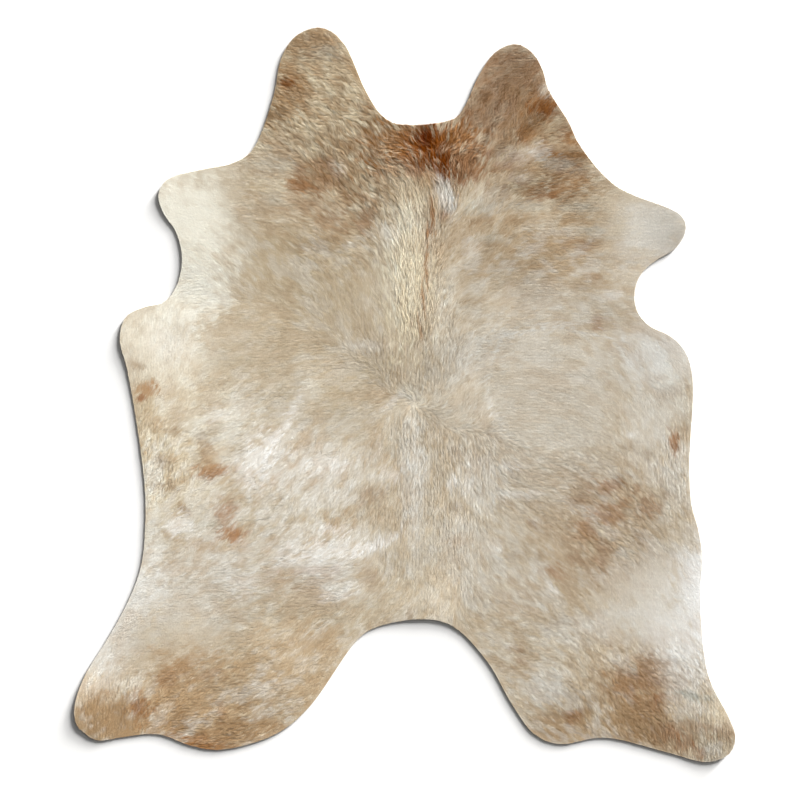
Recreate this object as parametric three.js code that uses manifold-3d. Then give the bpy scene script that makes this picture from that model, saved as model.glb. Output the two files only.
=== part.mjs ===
// A cowhide rug: one tanned hide with its hair left on, cut round its natural outline
// and laid flat with the hair up. Millimetres, +Z up. The origin is on the ground,
// under the middle of the hide. +Y points to the neck and +X to the animal's right
// side, so the hind legs lie towards -Y.
import * as THREE from 'three';
import { mergeVertices } from 'three/addons/utils/BufferGeometryUtils.js';
import Module from 'manifold-3d';

const wasm = await Module();
wasm.setup();

// Size of the whole hide
const WIDTH = 1980; // hock to hock
const LENGTH = 2200; // tip of a neck flap to the hind feet

// Thickness: the skin, and the coat that lies combed down on it
const SKIN = 2.4;
const COAT = 4.2;

// The rim, place by place, clockwise as seen from above. across is along +X and along
// is along +Y. A smooth curve runs through these places.
const RIGHT_NECK_FLAP = [
  { place: 'where the cut turns up the flap', across: 150, along: 829 },
  { place: 'inner side, low', across: 183, along: 872 },
  { place: 'inner side, high', across: 221, along: 956 },
  { place: 'inner shoulder of the tip', across: 271, along: 1027 },
  { place: 'tip', across: 333, along: 1051 },
  { place: 'outer shoulder of the tip', across: 382, along: 1024 },
  { place: 'outer side, high', across: 412, along: 974 },
  { place: 'small dent in the outer side', across: 428, along: 918 },
  { place: 'outer side, low', across: 490, along: 817 },
  { place: 'top of the shoulder', across: 522, along: 750 },
];
const RIGHT_FORELEG = [
  { place: 'shoulder, leaving the hollow', across: 630, along: 627 },
  { place: 'upper corner of the foreleg', across: 825, along: 538 },
  { place: 'end of the foreleg', across: 840, along: 498 },
  { place: 'lower corner of the foreleg', across: 813, along: 443 },
  { place: 'lower side of the foreleg', across: 748, along: 401 },
  { place: 'armpit, upper side', across: 706, along: 362 },
  { place: 'armpit, deepest', across: 686, along: 303 },
  { place: 'armpit, lower side', across: 697, along: 246 },
  { place: 'armpit, leaving it', across: 733, along: 206 },
];
const RIGHT_FLANK = [
  { place: 'front of the flank', across: 795, along: 176 },
  { place: 'upper corner of the flank', across: 838, along: 131 },
  { place: 'widest part of the flank', across: 860, along: 50 },
  { place: 'waist', across: 851, along: -215 },
  { place: 'end of the waist', across: 858, along: -331 },
  { place: 'top of the thigh', across: 876, along: -395 },
  { place: 'widest part of the thigh', across: 889, along: -480 },
  { place: 'middle of the thigh', across: 884, along: -620 },
];
const RIGHT_HIND_LEG = [
  { place: 'outer side, at the hock', across: 908, along: -840 },
  { place: 'outer side of the foot', across: 971, along: -971 },
  { place: 'outer corner of the foot', across: 988, along: -1026 },
  { place: 'tip of the foot', across: 970, along: -1074 },
  { place: 'lower side of the foot', across: 905, along: -1099 },
  { place: 'lower side, at the hock', across: 790, along: -1072 },
  { place: 'hollow under the leg', across: 595, along: -1026 },
  { place: 'inner lobe, lowest', across: 460, along: -1046 },
  { place: 'inner lobe, corner', across: 390, along: -1019 },
  { place: 'inner lobe, inner side', across: 322, along: -929 },
];
const TAIL_CUT = [
  { place: 'right slope, low', across: 247, along: -799 },
  { place: 'right slope, high', across: 140, along: -690 },
  { place: 'root of the tail', across: 55, along: -671 },
  { place: 'left slope, high', across: -90, along: -697 },
  { place: 'left slope, middle', across: -140, along: -732 },
];
const LEFT_HIND_LEG = [
  { place: 'inner lobe, inner side', across: -290, along: -940 },
  { place: 'inner lobe, corner', across: -390, along: -1018 },
  { place: 'inner lobe, lowest', across: -554, along: -1063 },
  { place: 'inner lobe, leaving it', across: -640, along: -1050 },
  { place: 'hollow under the leg', across: -740, along: -1016 },
  { place: 'lower side of the foot', across: -851, along: -1026 },
  { place: 'lower corner of the foot', across: -920, along: -1034 },
  { place: 'tip of the foot', across: -976, along: -995 },
  { place: 'outer corner of the foot', across: -988, along: -945 },
  { place: 'outer side, at the hock', across: -960, along: -848 },
  { place: 'outer side, above the hock', across: -889, along: -731 },
  { place: 'outer side of the thigh', across: -828, along: -620 },
];
const LEFT_FLANK = [
  { place: 'top of the thigh', across: -789, along: -516 },
  { place: 'waist', across: -775, along: -370 },
  { place: 'lower flank', across: -782, along: -226 },
  { place: 'upper flank', across: -830, along: 78 },
  { place: 'widest part of the flank', across: -852, along: 169 },
  { place: 'upper corner of the flank', across: -833, along: 235 },
  { place: 'front of the flank', across: -775, along: 264 },
];
const LEFT_FORELEG = [
  { place: 'armpit, entering it', across: -722, along: 277 },
  { place: 'armpit, lower side', across: -684, along: 322 },
  { place: 'armpit, deepest', across: -665, along: 405 },
  { place: 'armpit, upper side', across: -684, along: 489 },
  { place: 'lower side of the foreleg', across: -722, along: 545 },
  { place: 'end of the foreleg', across: -736, along: 603 },
  { place: 'upper corner of the foreleg', across: -708, along: 646 },
  { place: 'upper side of the foreleg', across: -603, along: 676 },
  { place: 'shoulder', across: -515, along: 694 },
];
const LEFT_NECK_FLAP = [
  { place: 'hollow of the shoulder', across: -456, along: 733 },
  { place: 'outer side, middle', across: -391, along: 899 },
  { place: 'outer side, high', across: -369, along: 1008 },
  { place: 'outer shoulder of the tip', across: -327, along: 1074 },
  { place: 'tip', across: -253, along: 1100 },
  { place: 'inner shoulder of the tip', across: -190, along: 1064 },
  { place: 'inner side', across: -115, along: 908 },
  { place: 'where the flap meets the cut', across: -68, along: 837 },
  { place: 'left end of the cut across the neck', across: -20, along: 811 },
];
const RIM = [
  ...RIGHT_NECK_FLAP,
  ...RIGHT_FORELEG,
  ...RIGHT_FLANK,
  ...RIGHT_HIND_LEG,
  ...TAIL_CUT,
  ...LEFT_HIND_LEG,
  ...LEFT_FLANK,
  ...LEFT_FORELEG,
  ...LEFT_NECK_FLAP,
];

// The line of the back, from the neck to the tail
const SPINE = [
  { across: 75, along: 810 },
  { across: 70, along: 480 },
  { across: 55, along: 200 },
  { across: 30, along: -160 },
  { across: 15, along: -680 },
];
const RIDGE_HEIGHT = 1.6; // the coat stands a little higher along the back
const RIDGE_REACH = 95;

// Where the coat is deeper or thinner than COAT: within reach of the place it changes
// by depth, most at the middle
const COAT_CHANGES = [
  { place: 'tuft at the neck', across: 75, along: 730, reach: 150, depth: 4.5 },
  { place: 'left end of the tuft', across: -60, along: 750, reach: 110, depth: 1.5 },
  { place: 'whorl on the back', across: 35, along: -20, reach: 150, depth: 1.2 },
  { place: 'right elbow', across: 560, along: 330, reach: 170, depth: 1.0 },
  { place: 'left neck flap', across: -270, along: 960, reach: 230, depth: -1.2 },
  { place: 'right neck flap', across: 330, along: 930, reach: 210, depth: -1.4 },
  { place: 'left foreleg', across: -690, along: 570, reach: 200, depth: -1.6 },
  { place: 'right foreleg', across: 780, along: 490, reach: 200, depth: -1.6 },
  { place: 'left hind leg', across: -900, along: -880, reach: 330, depth: -1.7 },
  { place: 'right hind leg', across: 900, along: -920, reach: 330, depth: -1.7 },
  { place: 'edge of the left belly', across: -800, along: -180, reach: 260, depth: -0.8 },
  { place: 'edge of the right belly', across: 860, along: -100, reach: 260, depth: -0.8 },
];

// Where the hide stands off the ground: low swells in the skin and curling edges
const SWELLS = [
  { place: 'curl of the left neck flap', across: -270, along: 1120, reach: 150, lift: 5 },
  { place: 'curl of the right neck flap', across: 345, along: 1080, reach: 130, lift: 4 },
  { place: 'curl of the left foreleg', across: -770, along: 620, reach: 140, lift: 5 },
  { place: 'curl of the right foreleg', across: 880, along: 500, reach: 150, lift: 6 },
  { place: 'curl of the right armpit', across: 640, along: 300, reach: 120, lift: 3 },
  { place: 'curl of the left armpit', across: -620, along: 400, reach: 130, lift: 3 },
  { place: 'curl of the left hind foot', across: -1010, along: -960, reach: 160, lift: 6 },
  { place: 'curl of the right hind foot', across: 1010, along: -1070, reach: 170, lift: 7 },
  { place: 'edge of the left flank', across: -870, along: 150, reach: 150, lift: 4 },
  { place: 'edge of the right flank', across: 900, along: 30, reach: 160, lift: 4 },
  { place: 'edge of the tail cut', across: 60, along: -650, reach: 140, lift: 4 },
  { place: 'swell of the right thigh', across: 560, along: -860, reach: 170, lift: 3 },
  { place: 'swell of the left thigh', across: -470, along: -800, reach: 180, lift: 3 },
  { place: 'swell of the left shoulder', across: -320, along: 480, reach: 170, lift: 2.5 },
  { place: 'swell of the right shoulder', across: 370, along: 430, reach: 170, lift: 2.5 },
];

// How finely the solid is divided
const RIM_STEP = 21;
const CELL = 50;
const MARGIN = 40; // the sheet is made this much wider all round, then cut to the rim

const HAIR_COLOUR = 0xcbbba2;

// The closed curve through the rim, in even steps, brought to exactly WIDTH by LENGTH
function rimPoints() {
  const places = RIM.map((row) => new THREE.Vector3(row.across, row.along, 0));
  const curve = new THREE.CatmullRomCurve3(places, true, 'centripetal');
  const steps = Math.round(curve.getLength() / RIM_STEP);
  const points = curve.getSpacedPoints(steps).slice(0, steps);
  const box = new THREE.Box3().setFromPoints(points);
  const size = box.getSize(new THREE.Vector3());
  const middle = box.getCenter(new THREE.Vector3());
  return points.map((point) => new THREE.Vector2(
    ((point.x - middle.x) * WIDTH) / size.x,
    ((point.y - middle.y) * LENGTH) / size.y,
  ));
}

// 1 at the middle, 0 from reach outwards, smooth between
function soft(distance, reach) {
  const share = Math.min(distance / reach, 1);
  return (1 - share * share) ** 2;
}

// The sum of a table's soft changes at one place
function changesAt(table, column, x, y) {
  return table.reduce((sum, row) => {
    const distance = Math.hypot(x - row.across, y - row.along);
    return sum + row[column] * soft(distance, row.reach);
  }, 0);
}

// How far a place lies from the line of the back
function distanceToSpine(x, y) {
  const spots = SPINE.map((row) => new THREE.Vector3(row.across, row.along, 0));
  const here = new THREE.Vector3(x, y, 0);
  const nearest = new THREE.Vector3();
  let least = Infinity;
  for (let i = 1; i < spots.length; i += 1) {
    new THREE.Line3(spots[i - 1], spots[i]).closestPointToPoint(here, true, nearest);
    least = Math.min(least, nearest.distanceTo(here));
  }
  return least;
}

// Height of the flesh side, which lies on the ground almost everywhere
function underside(x, y) {
  return changesAt(SWELLS, 'lift', x, y);
}

// Height of the hair side
function hairSide(x, y) {
  const ridge = RIDGE_HEIGHT * soft(distanceToSpine(x, y), RIDGE_REACH);
  return underside(x, y) + SKIN + COAT + ridge + changesAt(COAT_CHANGES, 'depth', x, y);
}

// A sheet larger than the hide, with the hide's own swells on both sides
function swollenSheet() {
  const width = WIDTH + 2 * MARGIN;
  const length = LENGTH + 2 * MARGIN;
  const columns = Math.round(width / CELL);
  const rows = Math.round(length / CELL);
  const sheet = new THREE.BoxGeometry(width, length, 1, columns, rows, 1);
  const spots = sheet.attributes.position;
  for (let i = 0; i < spots.count; i += 1) {
    const height = spots.getZ(i) > 0 ? hairSide : underside;
    spots.setZ(i, height(spots.getX(i), spots.getY(i)));
  }
  return sheet;
}

// A tall block with the rim's outline
function rimBlock() {
  const tall = 60;
  const block = new THREE.ExtrudeGeometry(new THREE.Shape(rimPoints()), {
    depth: tall,
    bevelEnabled: false,
  });
  block.translate(0, 0, -tall / 3);
  return block;
}

// Closed meshes go to solids to be cut, and come back as meshes
function toSolid(geometry) {
  const bare = geometry.clone();
  bare.deleteAttribute('normal');
  bare.deleteAttribute('uv');
  const merged = mergeVertices(bare, 1e-3);
  return new wasm.Manifold(new wasm.Mesh({
    numProp: 3,
    vertProperties: Float32Array.from(merged.attributes.position.array),
    triVerts: Uint32Array.from(merged.index.array),
  }));
}

function toGeometry(solid) {
  const mesh = solid.getMesh();
  const geometry = new THREE.BufferGeometry();
  geometry.setAttribute('position', new THREE.BufferAttribute(mesh.vertProperties, 3));
  geometry.setIndex(new THREE.BufferAttribute(mesh.triVerts, 1));
  geometry.computeVertexNormals();
  return geometry;
}

// The hide itself, the only piece
function makeHide() {
  const cut = toSolid(swollenSheet()).intersect(toSolid(rimBlock()));
  const hair = new THREE.MeshStandardMaterial({
    color: HAIR_COLOUR,
    roughness: 0.75,
    metalness: 0,
  });
  const hide = new THREE.Mesh(toGeometry(cut), hair);
  hide.name = 'hide';
  return hide;
}

const group = new THREE.Group();
group.add(makeHide());

export default group;
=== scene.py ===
# %% [markdown]
# # A cowhide rug
#
# The real object is one cattle hide, tanned with its hair left on and trimmed with a knife
# round its natural outline. It lies flat, hair side up. Three things make it look real: the
# clean rim, the way the short hair is combed by nature out from the back, and the mottled
# coat, which is beige with cream edges, tan clouds and a chestnut tuft at the neck.
#
# The frame gives the hide's place, outline and thickness. This script adds the thin skin,
# the hair on it and their colours.

# %% Load the frame
import math

import bpy
import numpy as np
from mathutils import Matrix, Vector, kdtree
from mathutils.bvhtree import BVHTree


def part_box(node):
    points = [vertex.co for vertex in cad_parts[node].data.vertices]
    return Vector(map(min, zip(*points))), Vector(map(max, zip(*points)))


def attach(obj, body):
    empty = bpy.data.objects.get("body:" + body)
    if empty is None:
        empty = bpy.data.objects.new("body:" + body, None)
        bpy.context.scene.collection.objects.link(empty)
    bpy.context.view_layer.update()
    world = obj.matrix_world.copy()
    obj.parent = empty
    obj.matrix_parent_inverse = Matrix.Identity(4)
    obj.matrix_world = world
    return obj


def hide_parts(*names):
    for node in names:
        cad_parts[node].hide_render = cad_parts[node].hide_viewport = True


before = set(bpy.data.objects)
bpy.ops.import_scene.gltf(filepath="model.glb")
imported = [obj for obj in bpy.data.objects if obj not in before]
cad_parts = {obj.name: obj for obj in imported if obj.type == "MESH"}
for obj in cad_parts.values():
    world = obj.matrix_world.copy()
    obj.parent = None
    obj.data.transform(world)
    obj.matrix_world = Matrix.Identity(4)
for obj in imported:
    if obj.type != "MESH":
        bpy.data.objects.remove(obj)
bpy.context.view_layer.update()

MM = 0.001
HIDE_LOW, HIDE_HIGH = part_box("hide")
print("the hide is", [round(v, 3) for v in HIDE_HIGH - HIDE_LOW], "m")

# %% [markdown]
# The photograph looks straight down on the hide from far away, so the camera hangs above it
# with a long lens, and its view is a little wider than the hide. The hide isn't quite in the
# middle of the photograph, so the camera stands a little off the hide's middle.

# %% Camera
VIEW_SIDE = 2.4  # metres across the picture
VIEW_CENTRE = (-14.1 * MM, -15.9 * MM)
LENS = 85.0  # mm
SENSOR = 36.0  # mm


def add_camera():
    """A camera straight above the hide, with the neck at the top of its view."""
    data = bpy.data.cameras.new("camera")
    data.lens = LENS
    data.sensor_width = SENSOR
    camera = bpy.data.objects.new("camera", data)
    bpy.context.scene.collection.objects.link(camera)
    camera.location = (*VIEW_CENTRE, VIEW_SIDE * LENS / SENSOR)
    bpy.context.scene.camera = camera
    return camera


camera = add_camera()
print("camera", round(camera.location.z, 2), "m above the hide")

# %% [markdown]
# The light comes from the upper right. A photographer would use soft boxes, but lamps near the
# floor light one end of a big hide more than the other, and suns don't. The key sun shades
# the locks of hair. The low one grazes them and throws the narrow shadow along the left and
# lower rim. The high one and a faint world keep that shadow from going black.

# %% Suns and world
# name, where it shines from, spread in degrees, strength
SUNS = [
    ("key", (3.6, 4.2, 2.0), 20, 6.4),
    ("low key", (3.6, 4.2, 0.78), 10, 8.8),
    ("fill", (3.6, 4.2, 6.6), 60, 0.55),
]
WORLD_STRENGTH = 0.07


def add_sun(name, source, spread, strength):
    """A sun that shines from its source towards the middle of the hide."""
    data = bpy.data.lights.new(name, "SUN")
    data.angle = math.radians(spread)
    data.energy = strength
    sun = bpy.data.objects.new(name, data)
    bpy.context.scene.collection.objects.link(sun)
    sun.location = source
    sun.rotation_mode = "QUATERNION"
    sun.rotation_quaternion = (-Vector(source)).to_track_quat("-Z", "Y")


def add_world():
    """A faint white light from all around."""
    world = bpy.data.worlds.new("studio")
    bpy.context.scene.world = world
    world.use_nodes = True
    background = world.node_tree.nodes["Background"]
    background.inputs["Color"].default_value = (1, 1, 1, 1)
    background.inputs["Strength"].default_value = WORLD_STRENGTH


for sun_row in SUNS:
    add_sun(*sun_row)
add_world()
bpy.context.scene.view_settings.view_transform = "Standard"
print(len(SUNS), "suns")

# %% [markdown]
# Every colour here is written as the eye sees it, in sRGB, and one function turns it to the
# linear values that Blender counts in. One more small function adds a node with its settings
# and links, so that each material reads as a list of what feeds what.

# %% Colour and node helpers
def linear(code):
    """An sRGB hex colour as three linear numbers."""
    parts = [int(code[i : i + 2], 16) / 255 for i in (1, 3, 5)]
    return [c / 12.92 if c <= 0.04045 else ((c + 0.055) / 1.055) ** 2.4 for c in parts]


def new_material(name):
    """An empty node material, with its tree and its output."""
    material = bpy.data.materials.new(name)
    material.use_nodes = True
    tree = material.node_tree
    tree.nodes.clear()
    return material, tree, tree.nodes.new("ShaderNodeOutputMaterial")


def add_node(tree, kind, settings=None, **inputs):
    """Adds a node. settings are its own properties; inputs are values, or sockets to link. An
    input is named as Blender names it, with _ for a space, or by its number, such as i0."""
    node = tree.nodes.new(kind)
    for key, value in (settings or {}).items():
        setattr(node, key, value)
    for key, value in inputs.items():
        socket = node.inputs[int(key[1:])] if key[1:].isdigit() else node.inputs[key.replace("_", " ")]
        if isinstance(value, bpy.types.NodeSocket):
            tree.links.new(value, socket)
        else:
            socket.default_value = value
    return node


print("mid grey is", round(linear("#808080")[0], 3), "in linear values")

# %% [markdown]
# The floor in the photo is plain and nearly white, and all it does is take the shadow. One
# large plane does that, and it is no part of the object.

# %% Floor
FLOOR_COLOUR = "#EDECEA"
FLOOR_SIDE = 30  # metres


def floor_paint():
    """Matt floor paint, so pale that only the shadow shows on it."""
    material, tree, out = new_material("painted_floor")
    shader = add_node(
        tree,
        "ShaderNodeBsdfPrincipled",
        Base_Color=(*linear(FLOOR_COLOUR), 1),
        Roughness=0.9,
        Specular_IOR_Level=0.1,
    )
    tree.links.new(shader.outputs[0], out.inputs[0])
    return material


def add_floor():
    """The pale floor under the hide, a stage and not part of the object."""
    bpy.ops.object.select_all(action="DESELECT")
    bpy.ops.mesh.primitive_plane_add(size=FLOOR_SIDE)
    floor = bpy.context.object
    floor.name = "floor"
    floor.data.materials.append(floor_paint())
    return floor


floor = add_floor()
print("floor", floor.dimensions[0], "m wide")

# %% [markdown]
# Hair and colour both vary softly from place to place, so one more helper is needed: a smooth
# random field. Random numbers sit on a square lattice, and between them they are blended. The
# numbers are seeded, so the hide is the same each time.

# %% A smooth random field
FIELD_REACH = 1.3  # the lattice covers this far to each side, in metres


def soft_step(share):
    """Eases a share from 0 to 1, so that it starts and ends without a corner."""
    return share * share * (3 - 2 * share)


def read_lattice(lattice, u, v, soften=False):
    """The lattice's value at each place u, v, blended between its four neighbours."""
    i = np.clip(u.astype(int), 0, lattice.shape[0] - 2)
    j = np.clip(v.astype(int), 0, lattice.shape[1] - 2)
    s = np.clip(u - i, 0, 1)
    t = np.clip(v - j, 0, 1)
    if soften:
        s, t = soft_step(s), soft_step(t)
    low = lattice[i, j] * (1 - s) + lattice[i + 1, j] * s
    high = lattice[i, j + 1] * (1 - s) + lattice[i + 1, j + 1] * s
    return low * (1 - t) + high * t


def field(x, y, cell, seed):
    """A smooth random value from -1 to 1 at each place, with bumps about one cell wide."""
    count = int(2 * FIELD_REACH / cell) + 3
    lattice = np.random.default_rng(seed).uniform(-1, 1, (count, count)).astype(np.float32)
    return read_lattice(lattice, (x + FIELD_REACH) / cell, (y + FIELD_REACH) / cell, soften=True)


print("the field covers", 2 * FIELD_REACH, "m each way")

# %% [markdown]
# The skin is what the hair grows from. It is about 2.4 mm thick, pale and dense at the cut
# rim, and napped like suede underneath. It could be drawn again from an outline, but the CAD
# solid already has the true rim and swells, so its flesh side is taken as a surface and
# divided more finely. Its swells are eased next, and Solidify gives it its own thickness.

# %% The skin's surface
SKIN_THICKNESS = 2.4 * MM
ROOTS_THICKNESS = 2.2 * MM  # the dense feet of the hair, under the locks that can be told apart
SURFACE_CUTS = 3
SAME_POINT = 0.2 * MM  # points of the solid that lie closer than this are joined
FACES_UP = 0.5  # a face whose normal has more than this of up or down isn't part of the rim


def edit(obj, *steps):
    """Runs edit-mode steps on one object, with everything in it selected first."""
    bpy.ops.object.select_all(action="DESELECT")
    obj.select_set(True)
    bpy.context.view_layer.objects.active = obj
    bpy.ops.object.mode_set(mode="EDIT")
    bpy.ops.mesh.select_all(action="SELECT")
    for step in steps:
        step()
    bpy.ops.object.mode_set(mode="OBJECT")


def select_faces(obj, wanted):
    """Selects the faces whose normal passes a test, and nothing else."""
    edit(obj, lambda: bpy.ops.mesh.select_all(action="DESELECT"))
    for face in obj.data.polygons:
        face.select = wanted(face.normal)


def make_skin_surface():
    """The flesh side of the CAD hide, as an open surface that faces up."""
    skin = bpy.data.objects.new("hide_skin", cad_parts["hide"].data.copy())
    bpy.context.scene.collection.objects.link(skin)
    skin.data.materials.clear()
    edit(skin, lambda: bpy.ops.mesh.remove_doubles(threshold=SAME_POINT))
    bpy.ops.mesh.customdata_custom_splitnormals_clear()
    select_faces(skin, lambda normal: normal.z > -FACES_UP)
    bpy.ops.object.mode_set(mode="EDIT")
    bpy.ops.mesh.delete(type="FACE")
    bpy.ops.object.mode_set(mode="OBJECT")
    edit(
        skin,
        bpy.ops.mesh.flip_normals,
        lambda: bpy.ops.mesh.subdivide(number_cuts=SURFACE_CUTS),
        bpy.ops.mesh.quads_convert_to_tris,
    )
    return skin


skin = make_skin_surface()
print("skin surface", len(skin.data.vertices), "points", len(skin.data.polygons), "faces")

# %% [markdown]
# The rim is read off the skin's own border. A fine grid of distances to it, negative inside
# and positive outside, tells the hair where the hide ends, and a second grid holds the
# height of the skin.

# %% The border of the skin
GRID_CELL = 4 * MM
GRID_MARGIN = 60 * MM  # the grids reach this far past the hide
RIM_SAMPLE = 3 * MM  # distance between the places read along the rim


def border_segments(obj):
    """The border of an open surface: start and end of each edge that has one face, and the
    direction that points out of the surface."""
    mesh = obj.data
    uses = {}
    for face in mesh.polygons:
        for key in face.edge_keys:
            uses.setdefault(key, []).append(face)
    rows = []
    for (a, b), faces in uses.items():
        if len(faces) == 1:
            start, end = mesh.vertices[a].co, mesh.vertices[b].co
            along = (end - start).normalized()
            out = Vector((along.y, -along.x, 0))
            if out.dot(start - faces[0].center) < 0:
                out = -out
            rows.append((start, end, out))
    return rows


def grid_axes():
    """The grid's places along X and Y."""
    low = np.array(HIDE_LOW[:2]) - GRID_MARGIN
    high = np.array(HIDE_HIGH[:2]) + GRID_MARGIN
    return [np.arange(low[k], high[k] + GRID_CELL, GRID_CELL) for k in (0, 1)]


GRID_X, GRID_Y = grid_axes()
RIM = border_segments(skin)
print("rim length", round(sum((b - a).length for a, b, _ in RIM), 2), "m")


# %% Grids of distance and height
def rim_distance_grid():
    """Signed distance to the rim at every grid place."""
    tree = kdtree.KDTree(sum(int((b - a).length / RIM_SAMPLE) + 1 for a, b, _ in RIM))
    outs = []
    for start, end, out in RIM:
        steps = int((end - start).length / RIM_SAMPLE) + 1
        for k in range(steps):
            spot = start.lerp(end, (k + 0.5) / steps)
            tree.insert((spot.x, spot.y, 0), len(outs))
            outs.append(out)
    tree.balance()
    grid = np.empty((len(GRID_X), len(GRID_Y)), np.float32)
    for i, x in enumerate(GRID_X):
        for j, y in enumerate(GRID_Y):
            spot, index, distance = tree.find((x, y, 0))
            side = (x - spot[0]) * outs[index][0] + (y - spot[1]) * outs[index][1]
            grid[i, j] = math.copysign(distance, side)
    return grid


def height_grid():
    """Height of the skin's surface, spread outwards past the rim by its nearest height."""
    tree = BVHTree.FromPolygons(
        [v.co for v in skin.data.vertices], [f.vertices for f in skin.data.polygons]
    )
    grid = np.empty((len(GRID_X), len(GRID_Y)), np.float32)
    for i, x in enumerate(GRID_X):
        for j, y in enumerate(GRID_Y):
            grid[i, j] = tree.find_nearest((x, y, 0))[0].z
    return grid


def look_up(grid, x, y):
    """A grid's value at each place on the hide."""
    return read_lattice(grid, (x - GRID_X[0]) / GRID_CELL, (y - GRID_Y[0]) / GRID_CELL)


RIM_GRID = rim_distance_grid()
print("area", round(float((RIM_GRID < 0).sum()) * GRID_CELL**2, 3), "m2")

# %% [markdown]
# A groomer combs digital hair with guides: a few hairs placed one by one, each with a heading,
# and all the others follow the nearest ones. The photo shows the natural lie of the coat. A
# whorl sits on the back. In front of it the hair runs towards the neck and out over the
# shoulders, behind it towards the tail and out over the flanks and legs. Headings are in
# degrees, 0 to the right and 90 to the neck. The length and the depth of the coat are part
# of each guide, because the legs have short hair and the neck has long. The last column says
# how brindled the coat is there: plain on the forelegs, mixed on shoulders, belly and hocks.

# %% Guides for the lie of the hair
# name, across and along in mm, heading in degrees, length and depth in mm, brindle
GUIDES = [
    ("neck on the spine", 70, 585, 96, 32, 5.7, 0.6),
    ("withers on the spine", 58, 284, 82, 29, 5.0, 0.25),
    ("just above the whorl", 36, 70, 79, 19, 4.3, 0.3),
    ("just below the whorl", 28, -130, 270, 19, 4.1, 0.3),
    ("middle of the back", 26, -260, 264, 20, 3.7, 0.4),
    ("rump on the spine", 18, -496, 266, 19, 3.3, 0.4),
    ("left of the whorl", -150, -40, 200, 19, 2.9, 0.4),
    ("left ribs, level with the whorl", -300, -10, 195, 19, 2.9, 0.5),
    ("right of the whorl", 200, -40, 52, 19, 3.8, 0.3),
    ("right ribs, level with the whorl", 330, 0, 4, 19, 2.7, 0.3),
    ("poll, left of the spine", -74, 644, 123, 26, 5.3, 1.2),
    ("root of the left neck flap", -194, 734, 135, 23, 5.0, 1.5),
    ("middle of the left neck flap", -314, 884, 148, 18, 4.6, 1.2),
    ("tip of the left neck flap", -314, 1034, 163, 15, 4.1, 0.7),
    ("left shoulder, front", -404, 584, 168, 19, 3.3, 0.8),
    ("left foreleg", -614, 614, 154, 11, 2.4, 0.1),
    ("left shoulder, outside", -464, 404, 138, 18, 2.8, 0.5),
    ("left shoulder, inside", -194, 464, 152, 22, 3.6, 0.8),
    ("left of the withers", -104, 284, 107, 22, 2.9, 0.4),
    ("right of the neck", 196, 494, 50, 22, 4.0, 0.8),
    ("middle of the right neck flap", 316, 854, 58, 16, 5.1, 0.35),
    ("tip of the right neck flap", 316, 1034, 24, 15, 4.2, 0.3),
    ("right shoulder, front", 466, 674, 18, 19, 4.0, 0.9),
    ("right shoulder, top", 556, 674, 15, 16, 3.4, 0.9),
    ("right foreleg", 706, 524, 14, 11, 2.4, 0.1),
    ("right shoulder, outside", 466, 494, 7, 18, 3.2, 1.0),
    ("right shoulder, inside", 226, 344, 22, 20, 3.2, 0.7),
    ("right elbow", 586, 284, -3, 18, 2.7, 0.8),
    ("right ribs, front", 406, 164, 14, 20, 2.9, 0.6),
    ("right ribs, outside", 586, 164, -18, 19, 2.7, 0.6),
    ("right flank, front", 706, 104, -50, 16, 2.7, 0.5),
    ("right flank", 736, -76, -62, 15, 2.9, 0.5),
    ("right waist at the rim", 841, -166, -78, 14, 4.1, 0.5),
    ("right ribs, middle", 466, -76, -11, 20, 2.9, 0.3),
    ("right ribs, back", 466, -256, -18, 20, 3.7, 0.5),
    ("right loin", 616, -406, -37, 19, 3.8, 0.7),
    ("right rump", 406, -496, -40, 20, 3.0, 0.8),
    ("right of the back", 176, -176, -84, 20, 4.1, 0.5),
    ("right thigh", 736, -616, -62, 12, 2.5, 0.2),
    ("right of the tail", 346, -766, -22, 18, 3.4, 0.8),
    ("right hind leg, inside", 556, -946, -58, 18, 4.0, 0.7),
    ("right hind leg, middle", 706, -886, -40, 16, 4.3, 0.7),
    ("right foot", 886, -1051, -73, 12, 4.0, 0.4),
    ("right inner lobe", 466, -991, -30, 16, 3.6, 0.8),
    ("left ribs, front", -524, 164, 195, 19, 2.7, 0.4),
    ("left flank, front", -734, 134, 250, 14, 2.5, 0.3),
    ("left ribs, outside", -554, -76, 209, 19, 3.2, 0.7),
    ("left waist at the rim", -764, -226, 242, 14, 4.5, 1.0),
    ("left ribs, middle", -314, -166, 230, 20, 3.4, 0.9),
    ("left of the back", -44, -226, 242, 20, 3.4, 0.7),
    ("left loin", -254, -346, 234, 20, 3.5, 1.0),
    ("left loin, outside", -464, -376, 220, 19, 3.4, 0.9),
    ("left flank, back", -674, -406, 214, 16, 3.0, 0.7),
    ("left rump, outside", -464, -586, 194, 19, 3.0, 0.7),
    ("left rump", -224, -556, 196, 20, 3.3, 0.9),
    ("left of the tail", -74, -616, 222, 18, 3.3, 0.5),
    ("left thigh", -674, -766, 209, 12, 2.4, 0.2),
    ("left hind leg, middle", -644, -886, 211, 16, 4.2, 0.6),
    ("left foot", -884, -961, 248, 12, 3.6, 0.7),
    ("left inner lobe, low", -614, -1021, 195, 16, 4.5, 0.6),
    ("left inner lobe", -434, -886, 204, 18, 4.0, 0.8),
    ("left of the tail cut", -284, -766, 225, 18, 3.6, 0.5),
    ("left inner lobe, inside", -314, -916, 210, 16, 3.7, 0.6),
]
GUIDE_SPOTS = np.array([row[1:3] for row in GUIDES]) * MM
GUIDE_HEADINGS = np.radians([row[3] for row in GUIDES])
GUIDE_COAT = np.array([row[4:7] for row in GUIDES]) * (MM, MM, 1)
print(len(GUIDES), "guides")

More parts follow.
